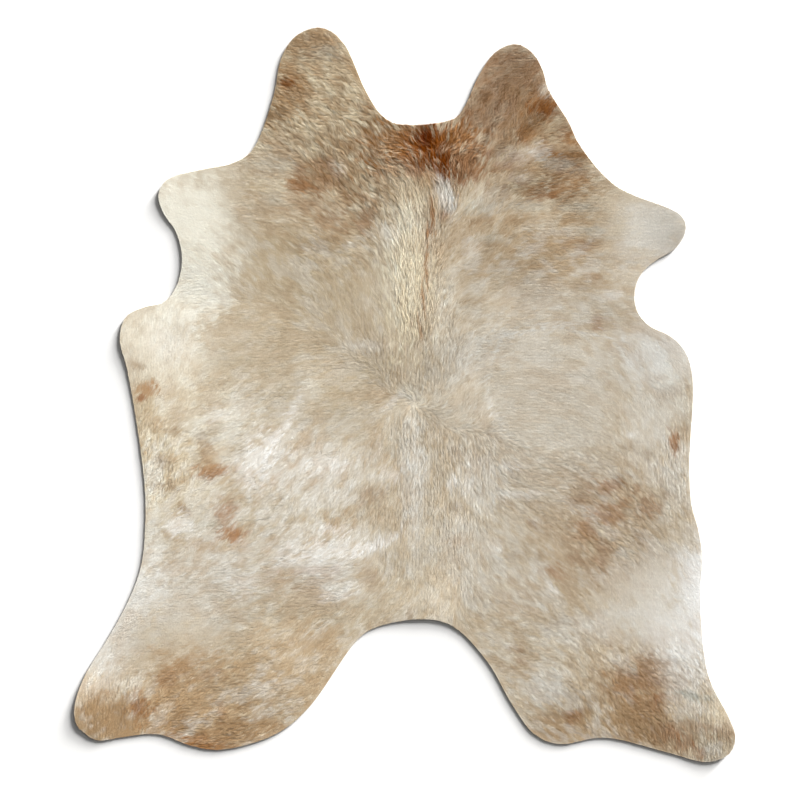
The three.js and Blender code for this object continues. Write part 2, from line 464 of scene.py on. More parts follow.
# %% [markdown]
# Between the guides the comb is a blend: each guide counts by how near it is. The whorl turns
# too tightly for guides, so it gets a formula: straight out from its middle, and then turned
# by one angle, which makes a spiral. The result is kept on grids, as the rim is.

# %% The comb
GUIDE_CORE = 45 * MM  # a guide rules alone within about this distance
BLOCK = 40000  # places worked out at a time, to keep the arrays small

WHORL_PLACE = (31 * MM, -31 * MM)
WHORL_REACH = 60 * MM
WHORL_TWIST = math.radians(28)


def guide_weights(x, y):
    """How much each guide counts at each place, adding up to 1."""
    gap = (x[:, None] - GUIDE_SPOTS[:, 0]) ** 2 + (y[:, None] - GUIDE_SPOTS[:, 1]) ** 2
    weight = 1 / (gap + GUIDE_CORE**2) ** 2
    return weight / weight.sum(1, keepdims=True)


def whorl(x, y):
    """The whorl's own heading at each place, as two parts, and how much it counts there."""
    dx, dy = x - WHORL_PLACE[0], y - WHORL_PLACE[1]
    away = np.hypot(dx, dy) + 1e-6  # never nought, because it divides
    cos, sin = math.cos(WHORL_TWIST), math.sin(WHORL_TWIST)
    turned_x = (dx * cos - dy * sin) / away
    turned_y = (dx * sin + dy * cos) / away
    return turned_x, turned_y, np.exp(-((away / WHORL_REACH) ** 2))


def comb_grids():
    """Grids of the heading's two parts, the length, the depth and the brindle."""
    x, y = (a.ravel() for a in np.meshgrid(GRID_X, GRID_Y, indexing="ij"))
    blocks = []
    for start in range(0, len(x), BLOCK):
        bx, by = x[start : start + BLOCK], y[start : start + BLOCK]
        weight = guide_weights(bx, by)
        turned_x, turned_y, share = whorl(bx, by)
        dx = weight @ np.cos(GUIDE_HEADINGS) * (1 - share) + turned_x * share
        dy = weight @ np.sin(GUIDE_HEADINGS) * (1 - share) + turned_y * share
        blocks.append(np.column_stack([dx, dy, weight @ GUIDE_COAT]))
    grids = np.concatenate(blocks).T
    return grids.reshape(5, len(GRID_X), len(GRID_Y))


COMB = comb_grids()


def comb(x, y):
    """The heading of the hair at each place, as two parts of one length."""
    dx, dy = look_up(COMB[0], x, y), look_up(COMB[1], x, y)
    size = np.hypot(dx, dy) + 1e-9  # never nought, because it divides
    return dx / size, dy / size


print("comb grids", COMB.shape)

# %% [markdown]
# Brindle is a mix of paler and browner hair in bands along the lie of the coat. To get such
# bands, the random field is read at several places up and down the comb, and the readings are
# added, which draws each bump out into a streak.

# %% Streaks along the lie of the hair
STREAK_READINGS = 7
STREAK_SPREAD = 0.8  # brings the sum of the readings back to about -1 to 1


def streaks(x, y, cell, reach, seed):
    """A random value from about -1 to 1 at each place, in streaks that follow the comb."""
    dx, dy = comb(x, y)
    total = np.zeros(len(x))
    for step in np.linspace(-reach, reach, STREAK_READINGS):
        total += field(x + dx * step, y + dy * step, cell, seed)
    return total / math.sqrt(STREAK_READINGS) / STREAK_SPREAD


print("each streak is read at", STREAK_READINGS, "places")

# %% [markdown]
# The coat's colours come in families. Most of the back is beige. The belly edges and legs
# fade to cream and grey-white, tan and rust clouds lie on the shoulders, loins and hocks, and
# the poll between the neck flaps is chestnut. A painter would lay the base first, then large
# soft clouds, then the brindle, and then each marking, and so does this script. Each row of its
# two tables is one soft stroke, listed as a colour, the middle, the half sizes, the turn
# and the strength.

# %% Colours of the coat
COAT = {
    "beige": linear("#C9BBA4"),
    "sand": linear("#BFAC8C"),
    "fawn": linear("#B39B7A"),
    "tan": linear("#A88A66"),
    "umber": linear("#8C7050"),
    "rosy": linear("#96704F"),
    "rust": linear("#9A6A3C"),
    "chestnut": linear("#82460C"),
    "dark": linear("#5C2502"),
    "straw": linear("#DCD0B4"),
    "dun": linear("#AFA48F"),
    "cream": linear("#ECE8D9"),
    "white": linear("#EDEBE6"),
    "grey": linear("#D9D6CE"),
    "smoke": linear("#B7B5A9"),
}

print(len(COAT), "colours")

# %% Clouds
# colour, across and along in mm, half width and half height in mm, turn in degrees, strength
CLOUDS = [
    ("sand", 16, 734, 720, 380, 0, 0.4),
    # painted light: the right half is made a little paler, against the shade its hair gets from the
    # light
    ("grey", 500, 150, 420, 760, 0, 0.1),
    ("sand", -340, 300, 260, 200, 0, 0.45),
    ("fawn", 420, 460, 250, 150, 5, 0.6),
    ("fawn", -269, 914, 185, 215, 10, 0.95),
    ("rosy", -290, 930, 120, 160, 0, 0.12),
    ("tan", -278, 1030, 120, 80, 15, 0.5),
    ("rosy", 331, 880, 175, 180, -10, 0.75),
    ("rosy", 300, 940, 140, 120, 0, 0.4),
    ("tan", 430, 750, 130, 120, -35, 0.9),
    ("rust", 500, 715, 80, 60, -40, 0.85),
    ("rosy", 241, 854, 60, 60, 40, 0.7),
    ("fawn", -230, 590, 190, 110, 0, 0.45),
    ("straw", -206, 925, 60, 90, 10, 0.5),
    ("straw", -224, 800, 70, 60, 0, 0.55),
    ("rust", -70, 764, 60, 46, 0, 0.45),
    ("beige", -420, 640, 110, 130, 0, 0.6),
    # partly the coat's duller colour on the left loin and rump, partly painted shade against the light
    # that the left half's hair catches
    ("dun", -400, -440, 520, 500, 0, 0.58),
    ("dun", -750, 190, 110, 80, 0, 0.6),
    ("grey", -700, -70, 50, 50, 0, 0.35),
    ("dun", -130, -110, 120, 180, 0, 0.35),
    ("dun", -374, -946, 110, 80, 0, 0.75),
    ("smoke", -374, -946, 60, 50, 0, 0.25),
    ("dun", -600, -880, 120, 80, 0, 0.35),
    ("cream", 31, -16, 34, 64, 0, 0.4),
    ("beige", 166, 494, 60, 80, 0, 0.5),
    ("cream", 68, 494, 40, 64, 0, 0.3),
    ("straw", -404, 824, 34, 44, 0, 0.35),
    ("white", -224, -556, 54, 44, 0, 0.25),
    ("grey", 22, -250, 40, 200, 0, 0.5),
    ("straw", 30, 330, 60, 150, 0, 0.5),
    ("sand", -420, 430, 120, 90, 0, 0.4),
    ("straw", -659, -166, 150, 240, 0, 0.4),
    ("cream", -665, 500, 140, 210, 0, 1.0),
    ("cream", -630, 340, 100, 110, 0, 0.9),
    ("cream", -540, 470, 90, 140, 0, 0.3),
    ("cream", -730, 145, 120, 120, 0, 0.6),
    ("white", -704, 149, 60, 50, 0, 0.25),
    ("straw", -770, -120, 60, 200, 0, 0.3),
    ("dun", -779, -16, 40, 60, 0, 0.35),
    ("cream", -790, -430, 60, 160, 0, 0.5),
    ("grey", 751, 490, 120, 110, 0, 0.75),
    ("grey", 780, 130, 110, 110, 0, 1.0),
    ("grey", 220, 125, 90, 60, 0, 0.4),
    ("cream", 124, 248, 34, 110, -5, 0.35),
    ("grey", 400, -60, 260, 260, 0, 0.25),
    ("grey", 760, 10, 90, 160, 0, 0.4),
    ("cream", 826, 14, 50, 90, 0, 0.35),
    ("grey", -839, -690, 80, 240, -21, 0.7),
    ("dun", -800, -760, 90, 100, 0, 0.45),
    ("white", -860, -700, 50, 200, -21, 0.2),
    ("grey", -620, -560, 170, 150, 0, 0.4),
    ("dun", -674, -406, 90, 70, 0, 0.35),
    ("white", -340, -220, 240, 110, 0, 0.27),
    ("white", -300, -470, 240, 90, 5, 0.2),
    ("cream", -560, -80, 90, 80, 0, 0.4),
    ("grey", -230, -570, 110, 60, 0, 0.4),
    ("white", 872, -601, 60, 150, 0, 1.1),
    ("white", 821, -756, 95, 150, 0, 0.8),
    ("grey", 736, -616, 130, 150, 0, 0.55),
    ("grey", 586, -691, 120, 45, 10, 0.5),
    ("tan", 601, -390, 160, 170, 0, 0.45),
    ("fawn", 466, -606, 115, 60, -10, 0.2),
    ("grey", 196, -496, 90, 110, 0, 0.3),
    ("grey", 226, -256, 70, 70, 0, 0.35),
    ("grey", 815, -230, 60, 90, 0, 0.4),
    ("sand", -194, 44, 90, 80, 0, 0.35),
    ("grey", 340, -600, 90, 70, 0, 0.3),
    ("dun", -164, -676, 110, 70, 0, 0.4),
    ("fawn", -570, -931, 240, 140, 0, 0.9),
    ("tan", -560, -1020, 170, 60, 0, 0.7),
    ("fawn", -310, -830, 170, 150, 0, 0.6),
    ("fawn", -894, -990, 130, 84, 0, 1.0),
    ("umber", -880, -985, 130, 74, 0, 0.65),
    ("tan", -680, -890, 110, 110, 0, 0.6),
    ("tan", 691, -926, 120, 130, 0, 0.9),
    ("tan", 790, -1010, 120, 56, -20, 0.75),
    ("fawn", 500, -970, 110, 90, 0, 0.7),
    ("tan", 466, -1000, 100, 45, 0, 0.5),
    ("dun", 880, -1030, 110, 60, -20, 0.7),
]

print(len(CLOUDS), "clouds")

# %% Markings
# the same columns as the clouds
MARKS = [
    # left neck flap
    ("tan", -179, 980, 40, 40, 0, 0.43),
    ("tan", -344, 908, 66, 72, 0, 0.8),
    ("chestnut", -350, 935, 24, 20, 0, 0.72),
    ("umber", -398, 842, 44, 26, 10, 0.8),
    ("straw", -281, 950, 10, 40, 25, 0.58),
    ("straw", -269, 869, 20, 34, 20, 0.36),
    ("smoke", -239, 1028, 45, 20, 0, 0.32),
    ("tan", -254, 830, 58, 20, 10, 0.43),
    ("tan", -194, 800, 28, 28, 0, 0.5),
    ("tan", -254, 770, 26, 34, 0, 0.36),
    ("straw", -278, 740, 18, 30, 0, 0.5),
    ("straw", -125, 749, 18, 34, 10, 0.5),
    ("umber", -89, 725, 26, 72, 5, 0.54),
    ("rust", -80, 668, 26, 20, 0, 0.58),
    ("umber", -50, 812, 75, 26, -20, 0.61),
    ("cream", -206, 683, 22, 22, 30, 0.5),
    ("rosy", -248, 689, 30, 26, 0, 0.58),
    ("tan", -278, 650, 70, 32, 0, 0.5),
    ("rust", -317, 626, 34, 22, 0, 0.68),
    ("rosy", -239, 638, 56, 32, 0, 0.5),
    ("rosy", -314, 668, 18, 26, 0, 0.5),
    ("smoke", -389, 689, 50, 22, 0, 0.36),
    ("rosy", -263, 569, 80, 32, 0, 0.32),
    # left shoulder
    ("rust", -134, 593, 42, 26, 0, 0.5),
    ("rosy", -116, 530, 26, 45, -10, 0.6),
    ("rust", -179, 584, 34, 28, 0, 0.2),
    ("fawn", -164, 584, 40, 30, 0, 0.35),
    ("rosy", -218, 518, 45, 26, 0, 0.38),
    ("umber", -254, 449, 70, 20, 0, 0.3),
    ("smoke", -400, 590, 30, 16, 0, 0.38),
    ("fawn", -470, 600, 60, 50, 0, 0.38),
    # between the neck flaps
    ("rust", -10, 745, 92, 76, 0, 1.0),
    ("rust", 146, 716, 84, 70, 0, 0.66),
    ("chestnut", 68, 748, 76, 78, 0, 1.0),
    ("chestnut", 60, 766, 56, 50, 0, 0.8),
    ("chestnut", 20, 690, 40, 40, 10, 0.6),
    ("tan", -50, 760, 40, 36, 0, 0.3),
    ("dark", 56, 772, 26, 40, 0, 1.0),
    ("dark", 118, 700, 26, 44, 20, 0.95),
    ("chestnut", 130, 690, 50, 50, 0, 0.5),
    ("rust", 166, 779, 44, 30, 0, 0.8),
    ("rosy", 190, 695, 40, 50, 0, 0.85),
    ("umber", -14, 803, 78, 12, 0, 0.5),
    ("tan", 70, 640, 40, 26, 0, 0.68),
    ("grey", 120, 600, 22, 52, 22, 1.0),
    # right neck flap
    ("chestnut", 427, 857, 42, 24, 0, 0.85),
    ("rust", 430, 880, 50, 40, 0, 0.4),
    ("umber", 331, 959, 48, 32, 0, 0.3),
    ("rust", 361, 785, 30, 34, -20, 0.6),
    ("umber", 307, 905, 40, 26, 0, 0.3),
    ("umber", 235, 884, 32, 26, 0, 0.3),
    ("cream", 421, 914, 16, 16, 0, 0.48),
    ("straw", 469, 818, 13, 26, 30, 0.42),
    ("chestnut", 481, 794, 16, 22, 0, 0.36),
    ("umber", 511, 704, 64, 34, -40, 0.54),
    ("grey", 346, 719, 54, 26, 0, 0.36),
    ("grey", 406, 734, 26, 26, 0, 0.36),
    ("smoke", 466, 689, 64, 20, -10, 0.48),
    ("grey", 352, 650, 34, 17, 0, 0.36),
    ("umber", 400, 612, 90, 34, 0, 0.7),
    ("rust", 470, 625, 50, 30, 0, 0.4),
    ("chestnut", 421, 599, 38, 24, 0, 0.3),
    ("smoke", 376, 563, 58, 14, 0, 0.48),
    ("tan", 391, 530, 95, 20, 0, 0.36),
    ("umber", 451, 644, 26, 16, 0, 0.42),
    ("rosy", 322, 704, 26, 32, 0, 0.3),
    # right shoulder
    ("smoke", 230, 560, 50, 20, 0, 0.5),
    ("grey", 256, 584, 54, 44, 0, 0.2),
    ("grey", 406, 284, 90, 60, 0, 0.25),
    ("smoke", 262, 470, 44, 15, 0, 0.5),
    ("tan", 214, 515, 34, 15, 20, 0.45),
    ("grey", 205, 425, 26, 40, 0, 0.4),
    ("smoke", 535, 560, 50, 16, 0, 0.42),
    ("smoke", 550, 491, 40, 13, 0, 0.48),
    ("grey", 481, 488, 40, 13, 0, 0.36),
    ("rosy", 544, 449, 44, 22, 0, 0.45),
    ("tan", 436, 449, 70, 38, 0, 0.36),
    ("tan", 526, 524, 44, 20, 0, 0.36),
    ("tan", 511, 629, 64, 20, 0, 0.3),
    ("tan", 256, 449, 45, 20, 0, 0.27),
    ("umber", 535, 326, 24, 14, 0, 0.3),
    ("rosy", 568, 347, 26, 14, 0, 0.3),
    ("white", 622, 299, 30, 14, 0, 0.36),
    ("rust", 577, 215, 20, 20, 0, 0.48),
    ("tan", 406, 389, 120, 16, 0, 0.27),
    ("fawn", 721, 209, 64, 26, -25, 0.42),
    # pale lines over the right ribs, painted highlight where ridges in the coat catch the light
    ("grey", 430, 200, 140, 14, 8, 0.48),
    ("grey", 376, 194, 80, 5, 8, 0.45),
    ("grey", 541, 185, 70, 5, -12, 0.5),
    ("grey", 665, 110, 60, 5, -52, 0.5),
    ("grey", 280, 140, 5, 60, -22, 0.5),
    ("grey", 256, -20, 5, 60, 10, 0.36),
    # along the spine
    ("straw", -5, 389, 64, 240, 0, 0.75),
    ("cream", -20, 450, 50, 130, 0, 0.25),
    ("cream", 16, 539, 32, 40, 0, 0.35),
    ("white", -50, 488, 32, 28, 0, 0.3),
    ("cream", -29, 314, 18, 80, 0, 0.23),
    ("cream", 22, 314, 12, 64, 0, 0.23),
    ("rust", 82, 545, 7, 40, 10, 0.8),
    ("chestnut", 76, 500, 8, 20, 0, 0.6),
    ("rust", 68, 449, 6, 44, 0, 0.7),
    ("tan", 88, 464, 15, 26, 0, 0.3),
    ("rust", 66, 374, 5, 60, 2, 0.65),
    ("rust", 57, 284, 6, 50, 4, 0.7),
    ("rust", 46, 212, 5, 50, 8, 0.6),
    ("tan", 106, 524, 26, 80, 0, 0.25),
    ("chestnut", 121, 542, 16, 10, 0, 0.4),
    ("umber", 13, -652, 8, 36, 0, 0.4),
    # back
    ("white", -119, 149, 62, 16, 0, 0.27),
    ("umber", -194, 86, 16, 20, 0, 0.24),
    ("tan", -89, -1, 62, 32, 0, 0.27),
    ("white", -38, -22, 38, 9, 45, 0.33),
    ("tan", -89, -136, 22, 64, 20, 0.3),
    ("cream", -275, 29, 26, 32, 0, 0.36),
    ("white", -254, -211, 64, 26, 0, 0.3),
    ("white", -194, -206, 30, 30, 0, 0.2),
    ("white", -50, -244, 32, 22, 0, 0.3),
    ("umber", -98, -307, 45, 28, 20, 0.36),
    ("white", 145, -268, 13, 22, -20, 0.36),
    ("white", 190, -286, 26, 32, 0, 0.24),
    ("umber", 151, -172, 16, 13, 0, 0.3),
    ("umber", 151, -340, 32, 16, -20, 0.3),
    ("tan", 160, -442, 32, 16, 0, 0.36),
    ("white", 322, -214, 26, 16, 0, 0.36),
    ("white", 346, -301, 70, 13, 0, 0.3),
    ("white", 271, -451, 26, 26, 0, 0.3),
    ("tan", 250, -90, 20, 70, 30, 0.21),
    ("white", 280, -70, 14, 60, 30, 0.21),
    # loin and rump, left
    ("white", -77, -448, 92, 15, 20, 0.51),
    ("white", -224, -406, 50, 16, -10, 0.36),
    ("white", -239, -472, 110, 32, 0, 0.45),
    ("white", -344, -496, 64, 16, 15, 0.45),
    ("umber", -359, -475, 24, 9, 25, 0.36),
    ("tan", -389, -556, 45, 26, 0, 0.42),
    ("tan", -290, -592, 40, 20, 0, 0.3),
    ("umber", -98, -556, 32, 38, 0, 0.33),
    ("rosy", -254, -526, 80, 12, 0, 0.27),
    ("white", -209, -601, 48, 15, 10, 0.36),
    ("white", -479, -571, 42, 32, 30, 0.33),
    ("tan", -284, -736, 80, 38, 0, 0.27),
    ("grey", -428, -886, 64, 26, 0, 0.27),
    # left hind leg
    ("umber", -788, -961, 24, 34, 0, 0.6),
    ("rust", -600, -1060, 90, 16, -12, 0.6),
    ("tan", -770, -990, 64, 30, 0, 0.7),
    ("chestnut", -794, -946, 26, 38, 0, 0.36),
    ("rosy", -704, -841, 48, 22, 40, 0.48),
    ("tan", -659, -811, 64, 22, 20, 0.36),
    ("tan", -614, -781, 58, 26, 0, 0.33),
    ("rosy", -584, -841, 38, 20, 0, 0.3),
    ("rust", -614, -1042, 85, 24, -8, 0.57),
    ("umber", -674, -976, 26, 32, 0, 0.42),
    ("umber", -509, -1006, 80, 38, 10, 0.45),
    ("umber", -428, -982, 64, 32, 10, 0.36),
    ("umber", -485, -931, 26, 38, 0, 0.3),
    ("grey", -629, -982, 26, 20, 0, 0.42),
    ("grey", -740, -982, 26, 13, 40, 0.3),
    ("rosy", -554, -952, 13, 32, 0, 0.36),
    # left flank
    ("umber", -803, 89, 26, 14, -15, 0.52),
    ("rust", -773, 14, 32, 18, 0, 0.9),
    ("sand", -779, -16, 26, 50, 10, 0.4),
    ("chestnut", -791, -10, 10, 13, 0, 0.68),
    ("tan", -710, 8, 26, 28, 0, 0.3),
    ("umber", -680, -76, 13, 42, 0, 0.2),
    ("umber", -692, -112, 28, 16, 0, 0.4),
    ("tan", -746, -82, 22, 13, 0, 0.38),
    ("umber", -575, -100, 22, 22, 0, 0.34),
    ("umber", -605, -166, 20, 50, 0, 0.38),
    ("rust", -569, -229, 56, 18, 3, 0.75),
    ("tan", -590, -190, 26, 40, 0, 0.5),
    ("rosy", -599, -244, 26, 15, 0, 0.45),
    ("umber", -725, -199, 22, 20, 0, 0.49),
    ("umber", -704, -277, 42, 14, -8, 0.56),
    ("umber", -665, -340, 28, 11, -45, 0.56),
    ("rosy", -536, -334, 38, 30, 20, 0.45),
    ("rust", -524, -415, 40, 26, 0, 0.8),
    ("rust", -545, -375, 22, 40, -20, 0.5),
    ("smoke", -584, -391, 64, 15, 0, 0.34),
    ("tan", -605, -451, 45, 15, 0, 0.45),
    ("white", -680, -391, 32, 32, 0, 0.52),
    ("white", -434, -196, 56, 78, -20, 0.49),
    ("white", -368, -106, 14, 110, -30, 0.52),
    ("white", -569, -61, 26, 26, 0, 0.38),
    # right flank
    ("umber", 847, 14, 8, 16, 0, 0.6),
    ("umber", 790, 5, 32, 15, 0, 0.3),
    ("rust", 808, -145, 14, 42, 5, 0.8),
    ("umber", 838, -106, 12, 22, 0, 0.4),
    ("umber", 676, -160, 26, 16, 0, 0.3),
    ("umber", 727, -181, 16, 13, 0, 0.38),
    ("white", 673, -124, 20, 10, 0, 0.45),
    # right belly
    ("rust", 613, -277, 36, 19, 0, 0.52),
    ("umber", 658, -262, 22, 20, 0, 0.33),
    ("rust", 664, -325, 20, 17, -40, 0.44),
    ("rust", 697, -280, 11, 14, 0, 0.33),
    ("rosy", 730, -346, 32, 26, 0, 0.52),
    ("umber", 778, -298, 20, 17, -40, 0.39),
    ("rust", 610, -361, 38, 26, -30, 0.5),
    ("rosy", 526, -322, 38, 17, 0, 0.28),
    ("rust", 547, -406, 30, 32, 0, 0.44),
    ("umber", 697, -427, 20, 23, 0, 0.33),
    ("rosy", 601, -460, 32, 38, 0, 0.39),
    ("rust", 562, -511, 30, 20, 0, 0.12),
    ("rosy", 517, -496, 22, 20, 0, 0.33),
    ("rust", 457, -532, 30, 26, 0, 0.5),
    ("rosy", 385, -391, 17, 17, 0, 0.33),
    ("umber", 361, -481, 38, 26, 0, 0.25),
    ("tan", 568, -571, 20, 26, -30, 0.28),
    ("umber", 841, -346, 10, 20, 0, 0.33),
    ("straw", 595, -415, 8, 32, 40, 0.39),
    ("white", 442, -580, 10, 26, 35, 0.39),
    ("straw", 670, -436, 9, 26, -30, 0.28),
    ("straw", 562, -460, 8, 24, 40, 0.33),
    ("straw", 301, -577, 34, 10, 0, 0.28),
    # right hind leg
    ("rosy", 676, -871, 50, 32, -10, 0.47),
    ("rosy", 736, -856, 32, 52, -20, 0.35),
    ("tan", 631, -832, 45, 26, 0, 0.25),
    ("chestnut", 760, -916, 16, 38, -20, 0.35),
    ("rosy", 730, -931, 38, 32, 0, 0.3),
    ("chestnut", 790, -1012, 38, 26, 0, 0.4),
    ("umber", 781, -1036, 45, 26, -20, 0.35),
    ("umber", 706, -991, 56, 56, -30, 0.35),
    ("chestnut", 841, -1051, 26, 26, 0, 0.3),
    ("chestnut", 880, -1075, 20, 15, -50, 0.4),
    ("umber", 960, -1020, 40, 18, 10, 0.5),
    ("rosy", 886, -1000, 64, 20, 0, 0.3),
    ("grey", 856, -940, 52, 26, 0, 0.35),
    ("grey", 925, -1060, 22, 16, 40, 0.35),
    ("grey", 871, -856, 80, 42, 0, 0.35),
    ("smoke", 880, -908, 48, 11, -12, 0.9),
    ("straw", 946, -952, 32, 32, 0, 0.25),
    ("umber", 661, -772, 20, 10, 0, 0.3),
    ("grey", 628, -796, 32, 13, 0, 0.3),
    ("chestnut", 502, -964, 24, 20, 0, 0.4),
    ("umber", 550, -940, 16, 26, 0, 0.3),
    ("umber", 442, -970, 56, 26, 0, 0.3),
    ("grey", 421, -886, 64, 58, 0, 0.5),
    ("grey", 571, -991, 16, 26, 0, 0.25),
    ("rosy", 331, -766, 26, 13, 0, 0.35),
    ("umber", 367, -772, 22, 10, -10, 0.3),
    ("rosy", 361, -799, 26, 10, -10, 0.3),
    ("rosy", 310, -820, 26, 13, -30, 0.25),
    ("fawn", 220, -700, 40, 34, 0, 0.25),
    ("umber", 229, -664, 16, 10, 0, 0.3),
    ("umber", 436, -682, 38, 20, 0, 0.2),
    ("umber", 550, -751, 20, 20, 0, 0.23),
]
print(len(MARKS), "marks")

# %% [markdown]
# A stroke of colour has a solid core and a soft edge. A painted edge would be too even for hair,
# so noise moves it in and out, and streaks along the comb fray it into single tufts. Clouds
# fade so widely that their edges hardly show, so they are frayed less than markings.

# %% Laying strokes
SOLID_CORE = 0.3  # a stroke is at full strength up to this share of its half sizes
SOFT_EDGE = 1.6  # and fades out at this many
STROKE_REACH = 2  # half sizes, past which a stroke isn't worked out


def paint(colour, name, amount):
    """Lays one colour over another by an amount from 0 to 1."""
    amount = amount[:, None]
    return colour * (1 - amount) + np.array(COAT[name]) * amount


def lay_strokes(colour, x, y, fray, rows):
    """Lays each row of a table over the colour, with edges frayed by the noise."""
    for name, across, along, half_width, half_height, turn, strength in rows:
        dx, dy = x / MM - across, y / MM - along
        reach = STROKE_REACH * max(half_width, half_height)
        near = (abs(dx) < reach) & (abs(dy) < reach)
        dx, dy = dx[near], dy[near]
        cos, sin = math.cos(math.radians(turn)), math.sin(math.radians(turn))
        across_share = (dx * cos + dy * sin) / half_width
        along_share = (dy * cos - dx * sin) / half_height
        share = np.hypot(across_share, along_share) + fray[near]
        cover = np.clip((SOFT_EDGE - share) / (SOFT_EDGE - SOLID_CORE), 0, 1)
        colour[near] = paint(colour[near], name, strength * soft_step(cover))
    return colour


print("strokes fade from", SOLID_CORE, "to", SOFT_EDGE, "half sizes")

# %% [markdown]
# The brindle lies over the clouds and under the markings. One width of streak would look like
# a woven pattern, so three are mixed. Its paler hair is grey-white on the body and straw at
# the neck, and its browner hair is tan all over. How much there is goes by the guides.

# %% Brindle and the whole coat's colour
# share of the mix, width and half length in mm, seed
BRINDLE = [(0.45, 10, 9, 31), (0.4, 24, 20, 32), (0.4, 56, 40, 33)]
PALE_MOST, BROWN_MOST = 0.5, 0.45  # how far the paler and the browner hair can cover
NECK_BEGINS = 450 * MM  # from here on the paler hair is straw and no longer grey
NECK_FADE = 150 * MM
FRAY = 0.25  # how far noise moves a stroke's edge, as a share of its half size
CLOUD_FRINGE, MARK_FRINGE = 0.15, 0.4  # the same for fine streaks, on clouds and on markings
FINE_STREAK = (4.5 * MM, 8 * MM)  # width and half length


def lay_brindle(colour, x, y):
    """Mixes paler and browner hair in, in streaks of three widths along the comb."""
    amount = look_up(COMB[4], x, y)
    mix = sum(share * streaks(x, y, width * MM, half * MM, seed) for share, width, half, seed in BRINDLE)
    on_neck = np.clip((y - NECK_BEGINS) / NECK_FADE, 0, 1)
    pale = np.clip(mix, 0, 1) * PALE_MOST * amount
    colour = paint(colour, "grey", pale * (1 - on_neck))
    colour = paint(colour, "straw", pale * on_neck)
    return paint(colour, "tan", np.clip(-mix, 0, 1) * BROWN_MOST * amount)


def coat_colour(x, y):
    """The coat's colour at each place."""
    fray = FRAY * field(x, y, 45 * MM, 11) + FRAY * field(x, y, 17 * MM, 12)
    fine = streaks(x, y, *FINE_STREAK, 13)
    colour = np.tile(np.array(COAT["beige"]), (len(x), 1))
    colour = lay_strokes(colour, x, y, fray + CLOUD_FRINGE * fine, CLOUDS)
    colour = lay_brindle(colour, x, y)
    return lay_strokes(colour, x, y, fray + MARK_FRINGE * fine, MARKS)


middle = coat_colour(np.zeros(1), np.zeros(1))[0]
print("at the hide's middle the coat is", middle.round(2))

# %% [markdown]
# The surface gets its thickness now. Leather has no flat facets, so the heights are blurred
# first, until each swell is one soft curve. Solidify then pushes a second side up by the
# thickness of the skin and of the hair's dense feet, so the flesh side stays where the solid
# lies on the ground. A smooth sheet with a sharp rim needs its normals split at the rim only.

# %% Ease the heights
EASING_ROUNDS = 90  # each round mixes every height with its four neighbours


def eased(grid):
    """A grid of heights with its facets blurred away."""
    for _ in range(EASING_ROUNDS):
        wide = np.pad(grid, 1, mode="edge")
        around = wide[:-2, 1:-1] + wide[2:, 1:-1] + wide[1:-1, :-2] + wide[1:-1, 2:]
        grid = 0.5 * grid + 0.125 * around
    return grid


FLESH_HEIGHT = eased(height_grid())
SKIN_HEIGHT = FLESH_HEIGHT + SKIN_THICKNESS + ROOTS_THICKNESS
print("the underside rises up to", round(float(FLESH_HEIGHT.max()) / MM, 2), "mm off the floor")

# %% Give the skin its thickness
RIM_ANGLE = math.radians(40)  # the cut rim stays sharp, all else is shaded smooth


def points_of(mesh):
    """A mesh's points as an array."""
    spots = np.empty(len(mesh.vertices) * 3, np.float32)
    mesh.vertices.foreach_get("co", spots)
    return spots.reshape(-1, 3).astype(float)


def lay_on(obj, grid):
    """Moves the points of a surface up or down to the grid's heights."""
    spots = points_of(obj.data)
    spots[:, 2] = look_up(grid, spots[:, 0], spots[:, 1])
    obj.data.vertices.foreach_set("co", spots.astype(np.float32).ravel())
    obj.data.update()


def thicken(obj, thickness):
    """Makes an open surface a closed sheet, upwards from where it lies."""
    bpy.ops.object.select_all(action="DESELECT")
    obj.select_set(True)
    bpy.context.view_layer.objects.active = obj
    solidify = obj.modifiers.new("thickness", "SOLIDIFY")
    solidify.thickness = thickness
    solidify.offset = 1
    bpy.ops.object.modifier_apply(modifier=solidify.name)
    bpy.ops.object.shade_smooth_by_angle(angle=RIM_ANGLE)


lay_on(skin, FLESH_HEIGHT)
thicken(skin, SKIN_THICKNESS + ROOTS_THICKNESS)
print("skin", len(skin.data.polygons), "faces")

# %% [markdown]
# The coat's colour has to reach the materials. An image would do it, but the pattern is a
# formula of the place, so it is worked out at each point of a mesh and kept there as a colour
# attribute. The skin's points lie closer together than the locks are long, which is enough
# for the layer under the hair.

# %% Colour at the skin's points
def store_colour(mesh, colour):
    """Keeps a colour for each point of a mesh, for its material to read."""
    rgba = np.ones((len(colour), 4), np.float32)
    rgba[:, :3] = colour
    layer = mesh.attributes.new("coat", "FLOAT_COLOR", "POINT")
    layer.data.foreach_set("color", rgba.ravel())


spots = points_of(skin.data)
store_colour(skin.data, coat_colour(spots[:, 0], spots[:, 1]))
print("colour kept at", len(spots), "points")

# %% [markdown]
# Between the locks one sees down, the soft hair at the roots, in the coat's own colour but in
# the shade of what lies above. Real down would take a million more hairs for what is hardly
# seen, so it is a finish: the coat's colour, darkened in a fine grain as painted shade of the
# locks above, and the grain also lifts it.

# %% Finish of the hair's feet
GRAIN_WIDTH = 2.38 * MM  # the clumps of down
GRAIN_DEPTH = 1.0 * MM


def waves(width):
    """The scale of a noise with bumps of one width: how many fit in a metre."""
    return float(round(1 / width))


